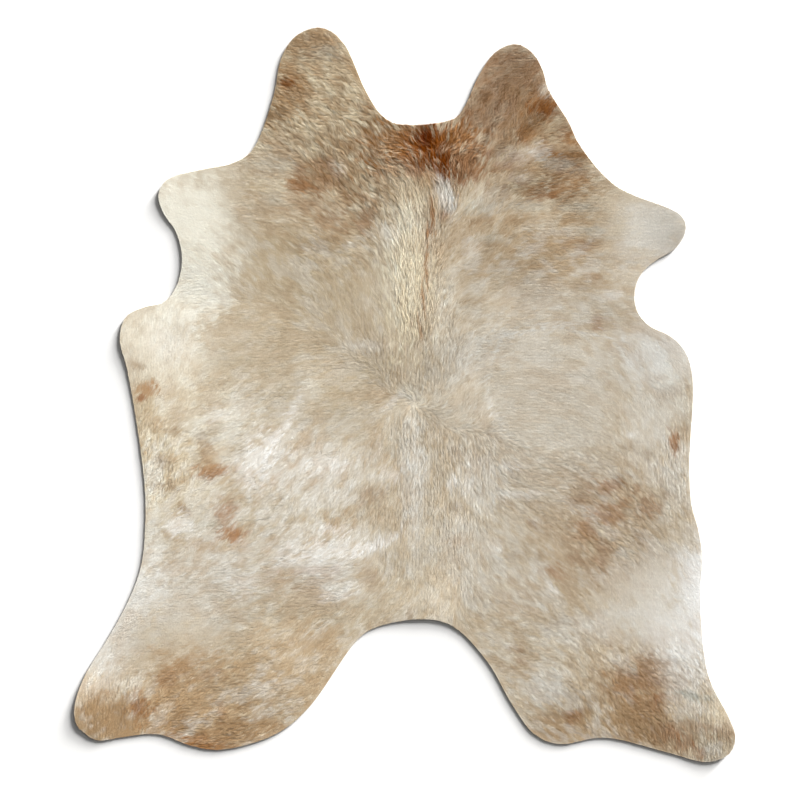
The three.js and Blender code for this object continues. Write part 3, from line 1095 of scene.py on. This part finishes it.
def undercoat():
    """Down and the roots of the hair, in the coat's own colours, darkened as painted shade of the locks
    above.
    """
    material, tree, out = new_material("hair_roots_in_painted_shade")
    coat = add_node(tree, "ShaderNodeAttribute", {"attribute_name": "coat"})
    place = add_node(tree, "ShaderNodeTexCoord")
    grain = add_node(
        tree, "ShaderNodeTexNoise", i0=place.outputs["Object"], Scale=waves(GRAIN_WIDTH), Detail=3.0
    )
    # painted shade: the coat's colour is darkened in a fine grain, for the shade of the locks above
    depth = add_node(tree, "ShaderNodeMapRange", i0=grain.outputs[0], To_Min=0.84, To_Max=1.0)
    deeper = add_node(
        tree,
        "ShaderNodeVectorMath",
        {"operation": "SCALE"},
        i0=coat.outputs["Color"],
        Scale=depth.outputs[0],
    )
    bump = add_node(tree, "ShaderNodeBump", Height=grain.outputs[0], Distance=GRAIN_DEPTH, Strength=0.5)
    shader = add_node(
        tree,
        "ShaderNodeBsdfPrincipled",
        i0=deeper.outputs[0],
        Roughness=0.85,
        Specular_IOR_Level=0.15,
        Normal=bump.outputs[0],
    )
    tree.links.new(shader.outputs[0], out.inputs[0])
    return material


HAIR_FEET = undercoat()
print("down in clumps of", round(GRAIN_WIDTH / MM, 1), "mm")

# %% [markdown]
# The underside is the flesh side of the leather, buffed until it has a short nap. It is pale
# and uneven, because a hide takes up tanning liquor more in some places than in others. One
# fine noise makes the nap and one wide noise the cloudy tint.

# %% Finish of the flesh side
NAP_WIDTH = 3.85 * MM
NAP_DEPTH = 0.6 * MM
NAP_SHARE = 0.35  # how much the nap counts in the tint beside the clouds
CLOUD_WIDTH = 167 * MM
DARK_NAP, PALE_NAP = "#B7A58A", "#D9CDB6"


def suede():
    """Tanned flesh side of cattle leather, buffed, so it is dull with a short nap."""
    material, tree, out = new_material("buffed_flesh_side")
    place = add_node(tree, "ShaderNodeTexCoord")
    nap = add_node(
        tree, "ShaderNodeTexNoise", i0=place.outputs["Object"], Scale=waves(NAP_WIDTH), Detail=5.0
    )
    cloud = add_node(
        tree, "ShaderNodeTexNoise", i0=place.outputs["Object"], Scale=waves(CLOUD_WIDTH), Detail=4.0
    )
    both = add_node(
        tree,
        "ShaderNodeMath",
        {"operation": "MULTIPLY_ADD"},
        i0=nap.outputs[0],
        i1=NAP_SHARE,
        i2=cloud.outputs[0],
    )
    tint = add_node(tree, "ShaderNodeValToRGB", i0=both.outputs[0])
    tint.color_ramp.elements[0].position = 0.4
    tint.color_ramp.elements[0].color = (*linear(DARK_NAP), 1)
    tint.color_ramp.elements[1].position = 0.9
    tint.color_ramp.elements[1].color = (*linear(PALE_NAP), 1)
    bump = add_node(tree, "ShaderNodeBump", Height=nap.outputs[0], Distance=NAP_DEPTH, Strength=0.6)
    shader = add_node(
        tree,
        "ShaderNodeBsdfPrincipled",
        i0=tint.outputs[0],
        Roughness=0.95,
        Specular_IOR_Level=0.1,
        Sheen_Weight=0.2,
        Normal=bump.outputs[0],
    )
    tree.links.new(shader.outputs[0], out.inputs[0])
    return material


FLESH_SIDE = suede()
print("nap of", round(NAP_WIDTH / MM, 1), "mm, clouds of", round(CLOUD_WIDTH / MM), "mm")

# %% [markdown]
# A knife leaves a clean edge: pale leather fibre below, and the cut feet of the hair above it in
# the coat's colour. Two pieces could meet there, but height alone tells them apart, so one
# finish mixes the two by the height above the floor.

# %% Finish of the cut edge
FIBRE_WIDTH = 1.111 * MM
FIBRE_DEPTH = 0.3 * MM
DARK_FIBRE, PALE_FIBRE = "#BFB29A", "#E4DCCB"
EDGE_BLEND = 0.3 * MM  # the leather gives way to hair within this height


def cut_edge():
    """The knife's cut through tanned leather, pale and fibrous, with the hair's feet above it."""
    material, tree, out = new_material("cut_leather_edge")
    place = add_node(tree, "ShaderNodeTexCoord")
    fibre = add_node(
        tree, "ShaderNodeTexNoise", i0=place.outputs["Object"], Scale=waves(FIBRE_WIDTH), Detail=3.0
    )
    tint = add_node(tree, "ShaderNodeValToRGB", i0=fibre.outputs[0])
    tint.color_ramp.elements[0].color = (*linear(DARK_FIBRE), 1)
    tint.color_ramp.elements[1].color = (*linear(PALE_FIBRE), 1)
    coat = add_node(tree, "ShaderNodeAttribute", {"attribute_name": "coat"})
    where = add_node(tree, "ShaderNodeSeparateXYZ", i0=place.outputs["Object"])
    above = add_node(
        tree,
        "ShaderNodeMapRange",
        i0=where.outputs[2],
        From_Min=SKIN_THICKNESS,
        From_Max=SKIN_THICKNESS + EDGE_BLEND,
    )
    mix = add_node(
        tree,
        "ShaderNodeMix",
        {"data_type": "RGBA"},
        i0=above.outputs[0],
        i6=tint.outputs[0],
        i7=coat.outputs["Color"],
    )
    bump = add_node(tree, "ShaderNodeBump", Height=fibre.outputs[0], Distance=FIBRE_DEPTH, Strength=0.5)
    shader = add_node(
        tree, "ShaderNodeBsdfPrincipled", i0=mix.outputs[2], Roughness=0.8, Normal=bump.outputs[0]
    )
    tree.links.new(shader.outputs[0], out.inputs[0])
    return material


CUT_EDGE = cut_edge()
print("leather below", round(SKIN_THICKNESS / MM, 1), "mm, hair above")


# %% Put the three finishes on the skin
def finish_skin(obj):
    """Gives the hair side, the flesh side and the cut rim their own finishes."""
    for material in (HAIR_FEET, FLESH_SIDE, CUT_EDGE):
        obj.data.materials.append(material)
    for face in obj.data.polygons:
        if face.normal.z > FACES_UP:
            face.material_index = 0
        elif face.normal.z < -FACES_UP:
            face.material_index = 1
        else:
            face.material_index = 2


finish_skin(skin)
print("finishes on the skin:", [material.name for material in skin.data.materials])

# %% [markdown]
# Hair. Each short lock is a flat ribbon that narrows to its tip, and its first part leans low
# along the skin, so it lies over the roots of the next ones as shingles do. One function makes
# the mesh for locks of any number of stations: two points at each station and one at the tip.
# Working on arrays is the only quick way, because there are a quarter of a million locks.

# %% The faces of one lock
def ribbon_faces(stations):
    """The corners of one lock's faces: quads between stations and a triangle at the tip."""
    corners = []
    for k in range(stations - 2):
        corners += [2 * k + 1, 2 * k, 2 * k + 2, 2 * k + 3]
    last = 2 * (stations - 2)
    return corners + [last + 1, last, last + 2]


def ribbon_uv(stations):
    """Across and along every corner of one lock, from 0 to 1."""
    places = []
    for corner in ribbon_faces(stations):
        at_tip = corner == 2 * (stations - 1)
        places.append((0.5 if at_tip else float(corner % 2), corner // 2 / (stations - 1)))
    return np.array(places)


print("a lock of 3 stations has", len(ribbon_faces(3)), "corners")

# %% [markdown]
# Many locks become one mesh: their points lie in one long array, and each lock's faces are the
# first lock's faces with its own points. Each mesh has two maps. The first runs from 0 to 1
# across and along each lock, for the lines in its finish. The second gives every lock a cell
# of its own in one square, so that the colours can be baked to an image without overlaps.

# %% A mesh of many locks
CELL_MARGIN = 0.1  # the share of a cell of the second map that is kept free on each side


def fill_mesh(mesh, points, stations):
    """Fills a mesh with locks. points is locks x points of a lock x 3."""
    count, per_lock = points.shape[:2]
    corners = np.array(ribbon_faces(stations))
    sizes = [4] * (stations - 2) + [3]
    starts = np.concatenate([[0], np.cumsum(sizes)[:-1]])
    mesh.vertices.add(count * per_lock)
    mesh.vertices.foreach_set("co", points.astype(np.float32).ravel())
    mesh.loops.add(count * len(corners))
    all_corners = np.arange(count)[:, None] * per_lock + corners
    mesh.loops.foreach_set("vertex_index", all_corners.astype(np.int32).ravel())
    mesh.polygons.add(count * len(sizes))
    all_starts = np.arange(count)[:, None] * len(corners) + starts
    mesh.polygons.foreach_set("loop_start", all_starts.astype(np.int32).ravel())
    mesh.update(calc_edges=True)
    mesh.polygons.foreach_set("use_smooth", np.ones(count * len(sizes), bool))


def add_lock_maps(mesh, count, stations):
    """Adds the map along each lock and the map with a cell for each lock."""
    places = ribbon_uv(stations)
    lock_map = mesh.uv_layers.new(name="lock")
    lock_map.data.foreach_set("uv", np.tile(places, (count, 1)).astype(np.float32).ravel())
    cells = math.ceil(math.sqrt(count))
    cell = np.stack([np.arange(count) % cells, np.arange(count) // cells], 1)[:, None, :]
    bake = (cell + CELL_MARGIN + (1 - 2 * CELL_MARGIN) * places[None, :, :]) / cells
    bake_map = mesh.uv_layers.new(name="OFBake")
    bake_map.data.foreach_set("uv", bake.astype(np.float32).ravel())


def lock_mesh(name, centres, sides, colour):
    """One joined mesh of locks. centres and colour are locks x stations x 3; sides has no tip."""
    count, stations = centres.shape[:2]
    pairs = np.stack([centres[:, :-1] - sides, centres[:, :-1] + sides], 2)
    points = np.concatenate([pairs.reshape(count, -1, 3), centres[:, -1:]], 1)
    mesh = bpy.data.meshes.new(name)
    fill_mesh(mesh, points, stations)
    at_points = np.repeat(colour, [2] * (stations - 1) + [1], axis=1)
    store_colour(mesh, at_points.reshape(-1, 3))
    add_lock_maps(mesh, count, stations)
    obj = bpy.data.objects.new(name, mesh)
    bpy.context.scene.collection.objects.link(obj)
    return obj


print("the map along a lock:", ribbon_uv(3).tolist())

# %% [markdown]
# Cattle hair is smooth keratin with a satin gloss. Up close each lock is a bundle of hairs, so
# fine lines run along it. A picture of hair would repeat, so the lines are a noise that is read
# across the lock, and shifted from lock to lock by the lock's own place. They make the coat's
# colour a little paler and deeper by turns.

# %% Hair finish
HAIRS_ACROSS = 3.5  # fine lines across one lock of about 1.5 mm
LINES_CHANGE = 16.7 * MM  # the lines are others again after this distance over the hide


def hair_finish():
    """Combed cattle hair: the coat's colour with a satin gloss and fine lines along each lock."""
    material, tree, out = new_material("combed_cattle_hair")
    coat = add_node(tree, "ShaderNodeAttribute", {"attribute_name": "coat"})
    lock = add_node(tree, "ShaderNodeUVMap", {"uv_map": "lock"})
    axes = add_node(tree, "ShaderNodeSeparateXYZ", i0=lock.outputs[0])
    place = add_node(tree, "ShaderNodeTexCoord")
    where = add_node(tree, "ShaderNodeSeparateXYZ", i0=place.outputs["Object"])
    times = {"operation": "MULTIPLY"}
    change = waves(LINES_CHANGE)
    across = add_node(tree, "ShaderNodeMath", times, i0=axes.outputs[0], i1=HAIRS_ACROSS)
    shift_x = add_node(tree, "ShaderNodeMath", times, i0=where.outputs[0], i1=change)
    shift_y = add_node(tree, "ShaderNodeMath", times, i0=where.outputs[1], i1=change)
    spot = add_node(
        tree, "ShaderNodeCombineXYZ", i0=across.outputs[0], i1=shift_x.outputs[0], i2=shift_y.outputs[0]
    )
    lines = add_node(tree, "ShaderNodeTexNoise", i0=spot.outputs[0], Scale=1.0, Detail=1.0)
    line_tone = add_node(tree, "ShaderNodeMapRange", i0=lines.outputs[0], To_Min=0.94, To_Max=1.06)
    tone = add_node(
        tree,
        "ShaderNodeVectorMath",
        {"operation": "SCALE"},
        i0=coat.outputs["Color"],
        Scale=line_tone.outputs[0],
    )
    shader = add_node(
        tree,
        "ShaderNodeBsdfPrincipled",
        i0=tone.outputs[0],
        Roughness=0.6,
        Specular_IOR_Level=0.1,
        Specular_Tint=tone.outputs[0],
    )
    tree.links.new(shader.outputs[0], out.inputs[0])
    return material


HAIR = hair_finish()
print("hair finish", len(HAIR.node_tree.nodes), "nodes")

# %% [markdown]
# The roots come first. Real ones are far closer and spread by chance, but pure chance leaves
# bald spots at this spacing, so a square grid is shaken. A second, wider grid is shaken in the
# same way for the middles of tufts, and each root belongs to the tuft of its own square.

# %% Roots and tufts
SEED = 20
ROOT_SPACING = 3.35 * MM
TUFT = 9 * MM
RIM_CLEARANCE = 1.5 * MM  # no root is nearer the rim than this


def scatter_roots(spacing, seed):
    """Roots on a shaken square grid, kept where they fall on the hide."""
    rng = np.random.default_rng(seed)
    xs = np.arange(HIDE_LOW.x, HIDE_HIGH.x, spacing)
    ys = np.arange(HIDE_LOW.y, HIDE_HIGH.y, spacing)
    x, y = (a.ravel() for a in np.meshgrid(xs, ys))
    x = x + rng.uniform(0, spacing, len(x))
    y = y + rng.uniform(0, spacing, len(y))
    inside = look_up(RIM_GRID, x, y) < -RIM_CLEARANCE
    return x[inside], y[inside]


def tuft_middle(x, y, seed):
    """The middle of the tuft that each root belongs to, on a shaken grid, and its number."""
    rng = np.random.default_rng(seed)
    count = int(2 * FIELD_REACH / TUFT) + 2
    shake = rng.uniform(0.1, 0.9, (count, count, 2))  # as a share of a square's side
    i = ((x + FIELD_REACH) / TUFT).astype(int)
    j = ((y + FIELD_REACH) / TUFT).astype(int)
    mx = (i + shake[i, j, 0]) * TUFT - FIELD_REACH
    my = (j + shake[i, j, 1]) * TUFT - FIELD_REACH
    return mx, my, i * count + j


ROOTS = scatter_roots(ROOT_SPACING, SEED)
print(len(ROOTS[0]), "roots")

# %% [markdown]
# A rug's rim is cut with the hair lying on the skin, so the hair ends there too. Cutting the
# locks would leave blunt tips, so each point that lies past the rim is drawn back to its root.

# %% Helpers for the lie of a lock
RIM_FADE = 16 * MM  # the hair gets shorter and lower within this distance of the rim
RIM_SHARE = 0.5  # and is no less than this share of its length and height
PAST_THE_RIM = 1.5 * MM  # tips may reach this far past the rim
DRAWS = 5  # one draw towards the root isn't enough where the rim is curved
SHORTEST = 0.05  # of the way from root to point, which a draw leaves at least
SMOOTH_DEPTH, ROUGH_DEPTH = 2.4, 5.0  # in mm, where the coat is quite smooth and well tufted
ROUGHEST = 1.3  # the most that roughness can be, however deep the coat


def keep_inside(x, y, root_x, root_y):
    """Draws a point back towards its root until it is no more than a hair past the rim."""
    for _ in range(DRAWS):
        past = look_up(RIM_GRID, x, y) - PAST_THE_RIM
        length = np.hypot(x - root_x, y - root_y) + 1e-9  # never nought, because it divides
        share = np.clip(1 - np.maximum(past, 0) / length, SHORTEST, 1)
        x = root_x + (x - root_x) * share
        y = root_y + (y - root_y) * share
    return x, y


def turned(dx, dy, angle):
    """A heading turned by an angle."""
    cos, sin = np.cos(angle), np.sin(angle)
    return dx * cos - dy * sin, dx * sin + dy * cos


def roughness(x, y):
    """0 where the coat lies smooth and short, 1 and more where it is deep and tufted."""
    depth = look_up(COMB[3], x, y) / MM
    return np.clip((depth - SMOOTH_DEPTH) / (ROUGH_DEPTH - SMOOTH_DEPTH), 0, ROUGHEST)


print("roughness at the hide's middle", roughness(np.zeros(1), np.zeros(1)).round(2))

# %% [markdown]
# Short hair does not lie evenly. Neighbouring locks cling together in small tufts that narrow
# to one point, with a rounded back. So each lock looks up the middle of its tuft, is drawn
# towards the line through that middle, rises more the nearer it is to the line, and is rolled
# a little, as the two slopes of a roof are. How much of this shows goes by the roughness, from
# the sleek legs to the deep coat of the neck.

# %% The shape of each short lock
LOCK_WIDTH = (0.9 * MM, 1.5 * MM)
LOCK_LENGTH = (0.7, 1.15)  # least and most, as a share of the guides' length
DRIFT = math.radians(12)  # how far the heading drifts in wide waves
RUFFLE = math.radians(30)  # and in small waves, where the coat is rough
TUFT_TURN = math.radians(6)  # and from tuft to tuft
LOCK_TURN = math.radians(5)  # and from lock to lock
PULL = 0.3  # how far a lock is drawn to the line through the tuft's middle
PULL_AT_BEND = 0.6  # the share of that which is done halfway along
SLEEK_RISE, ROUGH_RISE = 0.14, 0.26  # share of the depth that a lock rises, and what roughness adds
SWELL = 0.3  # how much more or less it rises in wide streaks
SWELL_STREAK = (22 * MM, 40 * MM)  # their width and half length
UNEVEN = 0.3  # how much less it may rise by itself
ROUND_BACK = 0.2  # how much less it rises at the side of its tuft
TIP_RISE = 0.8  # of the rise at the bend
ROOT_WIDTH = 0.8  # of the width at the bend
ROLL, LOCK_ROLL = 0.15, 0.08  # slope across a lock from its tuft's back, and by itself
ROOT_SINK = 0.3 * MM  # roots start this far below the surface, so that none hovers


def lock_headings(x, y, rough, tuft, rng, seed):
    """How far each lock turns off the comb."""
    angle = DRIFT * field(x, y, 32 * MM, seed + 2) + LOCK_TURN * rng.normal(size=len(x))
    angle += RUFFLE * rough * field(x, y, 14 * MM, seed + 3)
    angle += TUFT_TURN * np.random.default_rng(seed + 3).normal(size=tuft.max() + 1)[tuft]
    return angle


def grow(x, y, seed):
    """The stations and half widths of every lock of the short coat, and its tuft."""
    rng = np.random.default_rng(seed)
    count = len(x)
    length, depth = look_up(COMB[2], x, y), look_up(COMB[3], x, y)
    mx, my, tuft = tuft_middle(x, y, seed + 1)
    rough = roughness(x, y)
    angle = lock_headings(x, y, rough, tuft, rng, seed)
    dx, dy = turned(*comb(x, y), angle)

    # from the root to the bend, and on to the tip
    near_rim = np.clip(-look_up(RIM_GRID, x, y) / RIM_FADE, RIM_SHARE, 1)
    half = length * near_rim * rng.uniform(*LOCK_LENGTH, count) / 2
    off = (x - mx) * -dy + (y - my) * dx
    pull = PULL * off
    first, rest = pull * PULL_AT_BEND, pull * (1 - PULL_AT_BEND)
    bx, by = x + dx * half + dy * first, y + dy * half - dx * first
    ex, ey = turned(*comb(bx, by), angle)
    tx, ty = bx + ex * half + ey * rest, by + ey * half - ex * rest
    bx, by = keep_inside(bx, by, x, y)
    tx, ty = keep_inside(tx, ty, x, y)

    # heights, with the tuft's rounded back
    lean = np.clip(off / (TUFT / 2), -1, 1)
    swell = 1 + SWELL * streaks(x, y, *SWELL_STREAK, seed + 4)
    uneven = 1 - rough * rng.uniform(0, UNEVEN, count)
    rise = (SLEEK_RISE + ROUGH_RISE * rough) * depth * near_rim * swell
    rise = rise * (1 - ROUND_BACK * abs(lean)) * uneven
    rise = np.maximum(rise, ROOT_SINK)
    root_z = look_up(SKIN_HEIGHT, x, y) - ROOT_SINK
    bend_z = look_up(SKIN_HEIGHT, bx, by) + rise
    tip_z = look_up(SKIN_HEIGHT, tx, ty) + rise * TIP_RISE
    centres = np.stack([x, y, root_z, bx, by, bend_z, tx, ty, tip_z], 1).reshape(count, 3, 3)

    # widths, and the roll of the two slopes
    roll = rough * (-ROLL * lean + rng.uniform(-LOCK_ROLL, LOCK_ROLL, count))
    half_width = rng.uniform(*LOCK_WIDTH, count) / 2
    side = np.stack([-dy, dx, roll], 1) * half_width[:, None]
    sides = np.stack([side * ROOT_WIDTH, side], 1)
    return centres, sides, tuft


print("short locks are", [round(w / MM, 1) for w in LOCK_WIDTH], "mm wide")

# %% [markdown]
# No two locks have quite the same tone, and the eye reads hair by that. A lock differs from
# its neighbours by itself, with its tuft, and in streaks along the comb. Darker hair is also
# redder and paler hair greyer, so a tone bends the three colours by different powers.

# %% The tone of each lock
WARMTH = np.array([0.75, 1.0, 1.3])  # power of the tone in red, green and blue
SLEEK_TONES, ROUGH_TONES = 0.008, 0.17  # spread of the tones where smooth, and what roughness adds
ROUGH_CURVE = 0.75  # below 1, so that a little roughness adds much of it
LOCK_TONE, TUFT_TONE = 0.4, 0.3  # shares of the tone from the lock itself and from its tuft
TONE_LIMITS = (0.5, 1.35)
# painted shade: the root of a lock is darkened for the shade of the locks that lie over it
ROOT_SHADE = 0.25  # how much deeper the root is than the tip on a rough coat
PLAIN_STATION = 0.6  # share of a lock's length where it has just the coat's colour
# share of the tone, width and half length of the streaks in mm, what is added to the seed
TONE_STREAKS = [(0.8, 4, 7, 1), (0.3, 9, 14, 3)]


def lock_tones(x, y, tuft, seed):
    """How much lighter or darker each lock is than the coat's colour."""
    rng = np.random.default_rng(seed)
    change = LOCK_TONE * rng.normal(size=len(x))
    change += TUFT_TONE * np.random.default_rng(seed + 2).normal(size=tuft.max() + 1)[tuft]
    for share, width, half, more in TONE_STREAKS:
        change += share * streaks(x, y, width * MM, half * MM, seed + more)
    tone = 1 + change * (SLEEK_TONES + ROUGH_TONES * roughness(x, y) ** ROUGH_CURVE)
    return np.clip(tone, *TONE_LIMITS)[:, None] ** WARMTH


def shaded(colour, rough):
    """The colour at each station of a lock: its root is deeper, as painted shade of the locks over it,
    and its tip is paler, as the hair's tips are.
    """
    along = np.linspace(0, 1, colour.shape[1]) - PLAIN_STATION
    shade = 1 + ROOT_SHADE * rough[:, None] * along[None, :]
    return np.clip(colour * shade[:, :, None] ** WARMTH, 0, 1)


print("a tone of 0.8 in red, green and blue:", (0.8**WARMTH).round(2))

# %% [markdown]
# The coat is made in four pieces from the neck to the hind legs, because one mesh of all the
# locks would be slow to open. The roots are put in order along the hide and dealt out evenly,
# so each piece has the same number of locks. Locks lie across the borders, so no seam shows.

# %% Short coat
COAT_PARTS = ("fore", "middle", "loin", "hind")
SEEN_SHARE = 0.7  # a lock takes its colour from here along it, the part that lies in the open


def make_coat():
    """The short hair, in four joined pieces from the neck to the hind legs."""
    x, y = ROOTS
    order = np.argsort(-y)
    pieces = []
    for part, picked in zip(COAT_PARTS, np.array_split(order, len(COAT_PARTS))):
        px, py = x[picked], y[picked]
        centres, sides, tuft = grow(px, py, SEED + 1)
        seen = (1 - SEEN_SHARE) * centres[:, 0] + SEEN_SHARE * centres[:, 2]
        colour = coat_colour(seen[:, 0], seen[:, 1]) * lock_tones(px, py, tuft, SEED + 5)
        # painted shade at each lock's root, and the hair's own paler tip
        colour = shaded(np.repeat(colour[:, None], 3, axis=1), roughness(px, py))
        piece = lock_mesh("coat_" + part, centres, sides, colour)
        piece.data.materials.append(HAIR)
        pieces.append(piece)
    return pieces


coat_pieces = make_coat()
print("coat", [len(p.data.polygons) for p in coat_pieces], "faces")

# %% [markdown]
# The neck has a mane. Long wavy locks stand along the front of the spine, and at the poll they
# turn dark and curl out from a parting, with pale tips lying over them from below. Three soft
# patches say where it stands, how long it is and how deep, and it thins out at their edges.

# %% Where the mane stands
MANE_SPACING = 3.9 * MM
MANE_EDGE = 1.25  # the mane ends at this many half sizes from the middle of a patch
FULL_MANE = 0.8  # no lock is left out where its strength is above this
# name, middle across and along in mm, half width and half height in mm, length and depth in mm
MANE = [
    ("poll", 76, 720, 125, 90, 32, 6.5),
    ("below the poll", 66, 590, 80, 100, 38, 4.6),
    ("withers", 40, 380, 64, 210, 32, 3.0),
]


def mane_strength(x, y):
    """How much of each part of the mane stands at each place."""
    rows = []
    for _, across, along, half_width, half_height, _, _ in MANE:
        share = np.hypot((x / MM - across) / half_width, (y / MM - along) / half_height)
        rows.append(np.clip(MANE_EDGE - share, 0, 1))
    return np.array(rows)


def mane_roots():
    """Root, length and depth of each long lock, thinned out at the mane's edges."""
    x, y = scatter_roots(MANE_SPACING, SEED + 40)
    strength = mane_strength(x, y)
    kept = np.random.default_rng(SEED + 41).uniform(0, FULL_MANE, len(x)) < strength.sum(0)
    x, y, strength = x[kept], y[kept], strength[:, kept]
    share = strength / strength.sum(0)
    length = share.T @ np.array([row[5] for row in MANE]) * MM
    depth = share.T @ np.array([row[6] for row in MANE]) * MM
    return x, y, length, depth


MANE_ROOTS = mane_roots()
print(len(MANE_ROOTS[0]), "long locks, up to", round(MANE_ROOTS[2].max() / MM), "mm")

# %% [markdown]
# A curl needs more stations than a short lock has. Curves could be drawn one by one, but there
# are thousands, so each lock is walked forward step by step, and its heading swings as it
# goes. Neighbours swing nearly together, which is what makes the hair wave and not bristle.

# %% Walking the long locks
MANE_STATIONS = 8
PARTING = (91 * MM, 716 * MM)  # the poll's hair turns away from here
PARTING_FADE = 40 * MM  # along the spine, from the comb's heading to the one away from the parting
PARTING_EARLY = 0.8  # the share of that which lies behind the parting
FAN_DEPTH = 25 * MM  # how far behind the parting the hair seems to fan out from
CURLS_BEGIN = 560 * MM  # behind here the mane lies nearly straight
CURLS_FADE = 90 * MM
SLACK = math.radians(26)  # how far the heading of a curled lock wanders
MANE_TURN = math.radians(7)  # and from lock to lock
SWING = math.radians(28)  # how far it swings to each side
SWING_SPREAD = 0.6  # how much more or less it swings from place to place
SWING_TURNS = 5.2  # how far the swing gets along a lock, in radians
SWING_BEND = 0.8  # how much the whole lock bends to one side beside swinging
PHASE_WAVE, PHASE_OWN = 3.1, 0.35  # how far the swing is shifted from place to place, and by itself
STRAIGHT_CURL = 0.3  # what is left of the curl where the mane lies straight
MANE_LENGTH = (0.75, 1.15)  # least and most, as a share of the patch's length
MANE_RISE = (0.55, 1.0)  # the same for the depth
ARCH_SPEED = 1.1  # how fast a lock gets to its full height
ARCH_DROP = 0.45  # how much of it is lost again at the tip


def mane_headings(x, y):
    """The comb's heading, turned away from the parting at the poll."""
    at_poll = np.clip((y - PARTING[1]) / PARTING_FADE + PARTING_EARLY, 0, 1)
    out_x, out_y = x - PARTING[0], np.maximum(y - PARTING[1], 0) + FAN_DEPTH
    away = np.hypot(out_x, out_y)
    dx, dy = comb(x, y)
    dx = dx * (1 - at_poll) + out_x / away * at_poll
    dy = dy * (1 - at_poll) + out_y / away * at_poll
    return np.arctan2(dy, dx)


def walk_locks(x, y, length, depth, seed):
    """Walks each long lock forward from its root, swinging as it goes."""
    rng = np.random.default_rng(seed)
    count = len(x)
    curl = STRAIGHT_CURL + (1 - STRAIGHT_CURL) * np.clip((y - CURLS_BEGIN) / CURLS_FADE, 0, 1)
    heading = mane_headings(x, y) + SLACK * curl * field(x, y, 26 * MM, seed + 1)
    heading += MANE_TURN * rng.normal(size=count)
    phase = PHASE_WAVE * field(x, y, 16 * MM, seed + 2) + rng.normal(0, PHASE_OWN, count)
    swing = SWING * curl * (1 + SWING_SPREAD * field(x, y, 40 * MM, seed + 3))

    step = length * rng.uniform(*MANE_LENGTH, count) / (MANE_STATIONS - 1)
    height = depth * rng.uniform(*MANE_RISE, count)
    ground = look_up(SKIN_HEIGHT, x, y)
    stations = [np.stack([x, y, ground - ROOT_SINK], 1)]
    headings = []
    px, py = x, y
    for k in range(1, MANE_STATIONS):
        share = k / (MANE_STATIONS - 1)
        turn = heading + swing * np.sin(phase + SWING_TURNS * share) + swing * SWING_BEND * share
        px, py = px + np.cos(turn) * step, py + np.sin(turn) * step
        px, py = keep_inside(px, py, x, y)
        arch = math.sin(math.pi * min(0.5, share * ARCH_SPEED)) * (1 - ARCH_DROP * share**2)
        stations.append(np.stack([px, py, look_up(SKIN_HEIGHT, px, py) + height * arch], 1))
        headings.append(turn)
    return np.stack(stations, 1), np.stack(headings, 1), rng


print(MANE_STATIONS, "stations on each long lock")

# %% [markdown]
# The long locks get the same finish as the short ones. They stand higher and catch more light,
# so their colour is painted paler than the coat below, and strands in the shade of others are
# painted darker and warmer. Each takes its colour from a place near its tip, which is the part
# that is seen.

# %% Mane along the neck
MANE_WIDTH = (0.8 * MM, 1.4 * MM)
MANE_ROLL = 0.25
TIP_WIDTH = 0.45  # of the width at the root, at the last station before the tip
# painted light: the mane is made paler than the coat, for the light that its raised locks catch
MANE_TONE = 1.25  # how much paler it is than the coat
STRAND_TONE, STREAK_TONE = 0.10, 0.14  # how far the tone differs by itself, and in streaks
MANE_TONE_LIMITS = (0.5, 1.5)
MANE_STREAK = (3.5 * MM, 16 * MM)  # width and half length
MANE_ROUGHNESS = 1.5  # for the shade at its roots


def mane_colour(x, y, seen, rng):
    """The colour at each station of every long lock."""
    # painted light and shade: the tone lifts the mane above the coat, and strands whose tone falls below
    # 1 are painted shade
    tone = MANE_TONE + STRAND_TONE * rng.normal(size=len(x))
    tone += STREAK_TONE * streaks(x, y, *MANE_STREAK, SEED + 45)
    tone = np.clip(tone, *MANE_TONE_LIMITS)[:, None]
    colour = coat_colour(seen[:, 0], seen[:, 1]) * np.where(tone < 1, tone**WARMTH, tone)
    return shaded(np.repeat(colour[:, None], MANE_STATIONS, axis=1), np.full(len(x), MANE_ROUGHNESS))


def make_mane():
    """The long hair of the neck, as one joined piece."""
    x, y, length, depth = MANE_ROOTS
    centres, headings, rng = walk_locks(x, y, length, depth, SEED + 42)
    half_width = rng.uniform(*MANE_WIDTH, len(x)) / 2
    roll = rng.uniform(-MANE_ROLL, MANE_ROLL, len(x))
    narrowing = np.linspace(1.0, TIP_WIDTH, MANE_STATIONS - 1)
    left = np.stack([-np.sin(headings), np.cos(headings), np.ones_like(headings) * roll[:, None]], 2)
    sides = left * half_width[:, None, None] * narrowing[None, :, None]
    colour = mane_colour(x, y, centres[:, MANE_STATIONS // 2 + 1], rng)
    piece = lock_mesh("neck_mane", centres, sides, colour)
    piece.data.materials.append(HAIR)
    return piece


mane = make_mane()
print("mane", len(mane.data.polygons), "faces")

# %% [markdown]
# Last, each piece is tied to the frame. The skin and the hair replace the plain solid, which
# is hidden, and ride on the only body.

# %% Tie the pieces to the frame
hair_pieces = [*coat_pieces, mane]

for piece in [skin, *hair_pieces]:
    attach(piece, "root")
    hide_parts("hide")

print("tied", 1 + len(hair_pieces), "pieces")
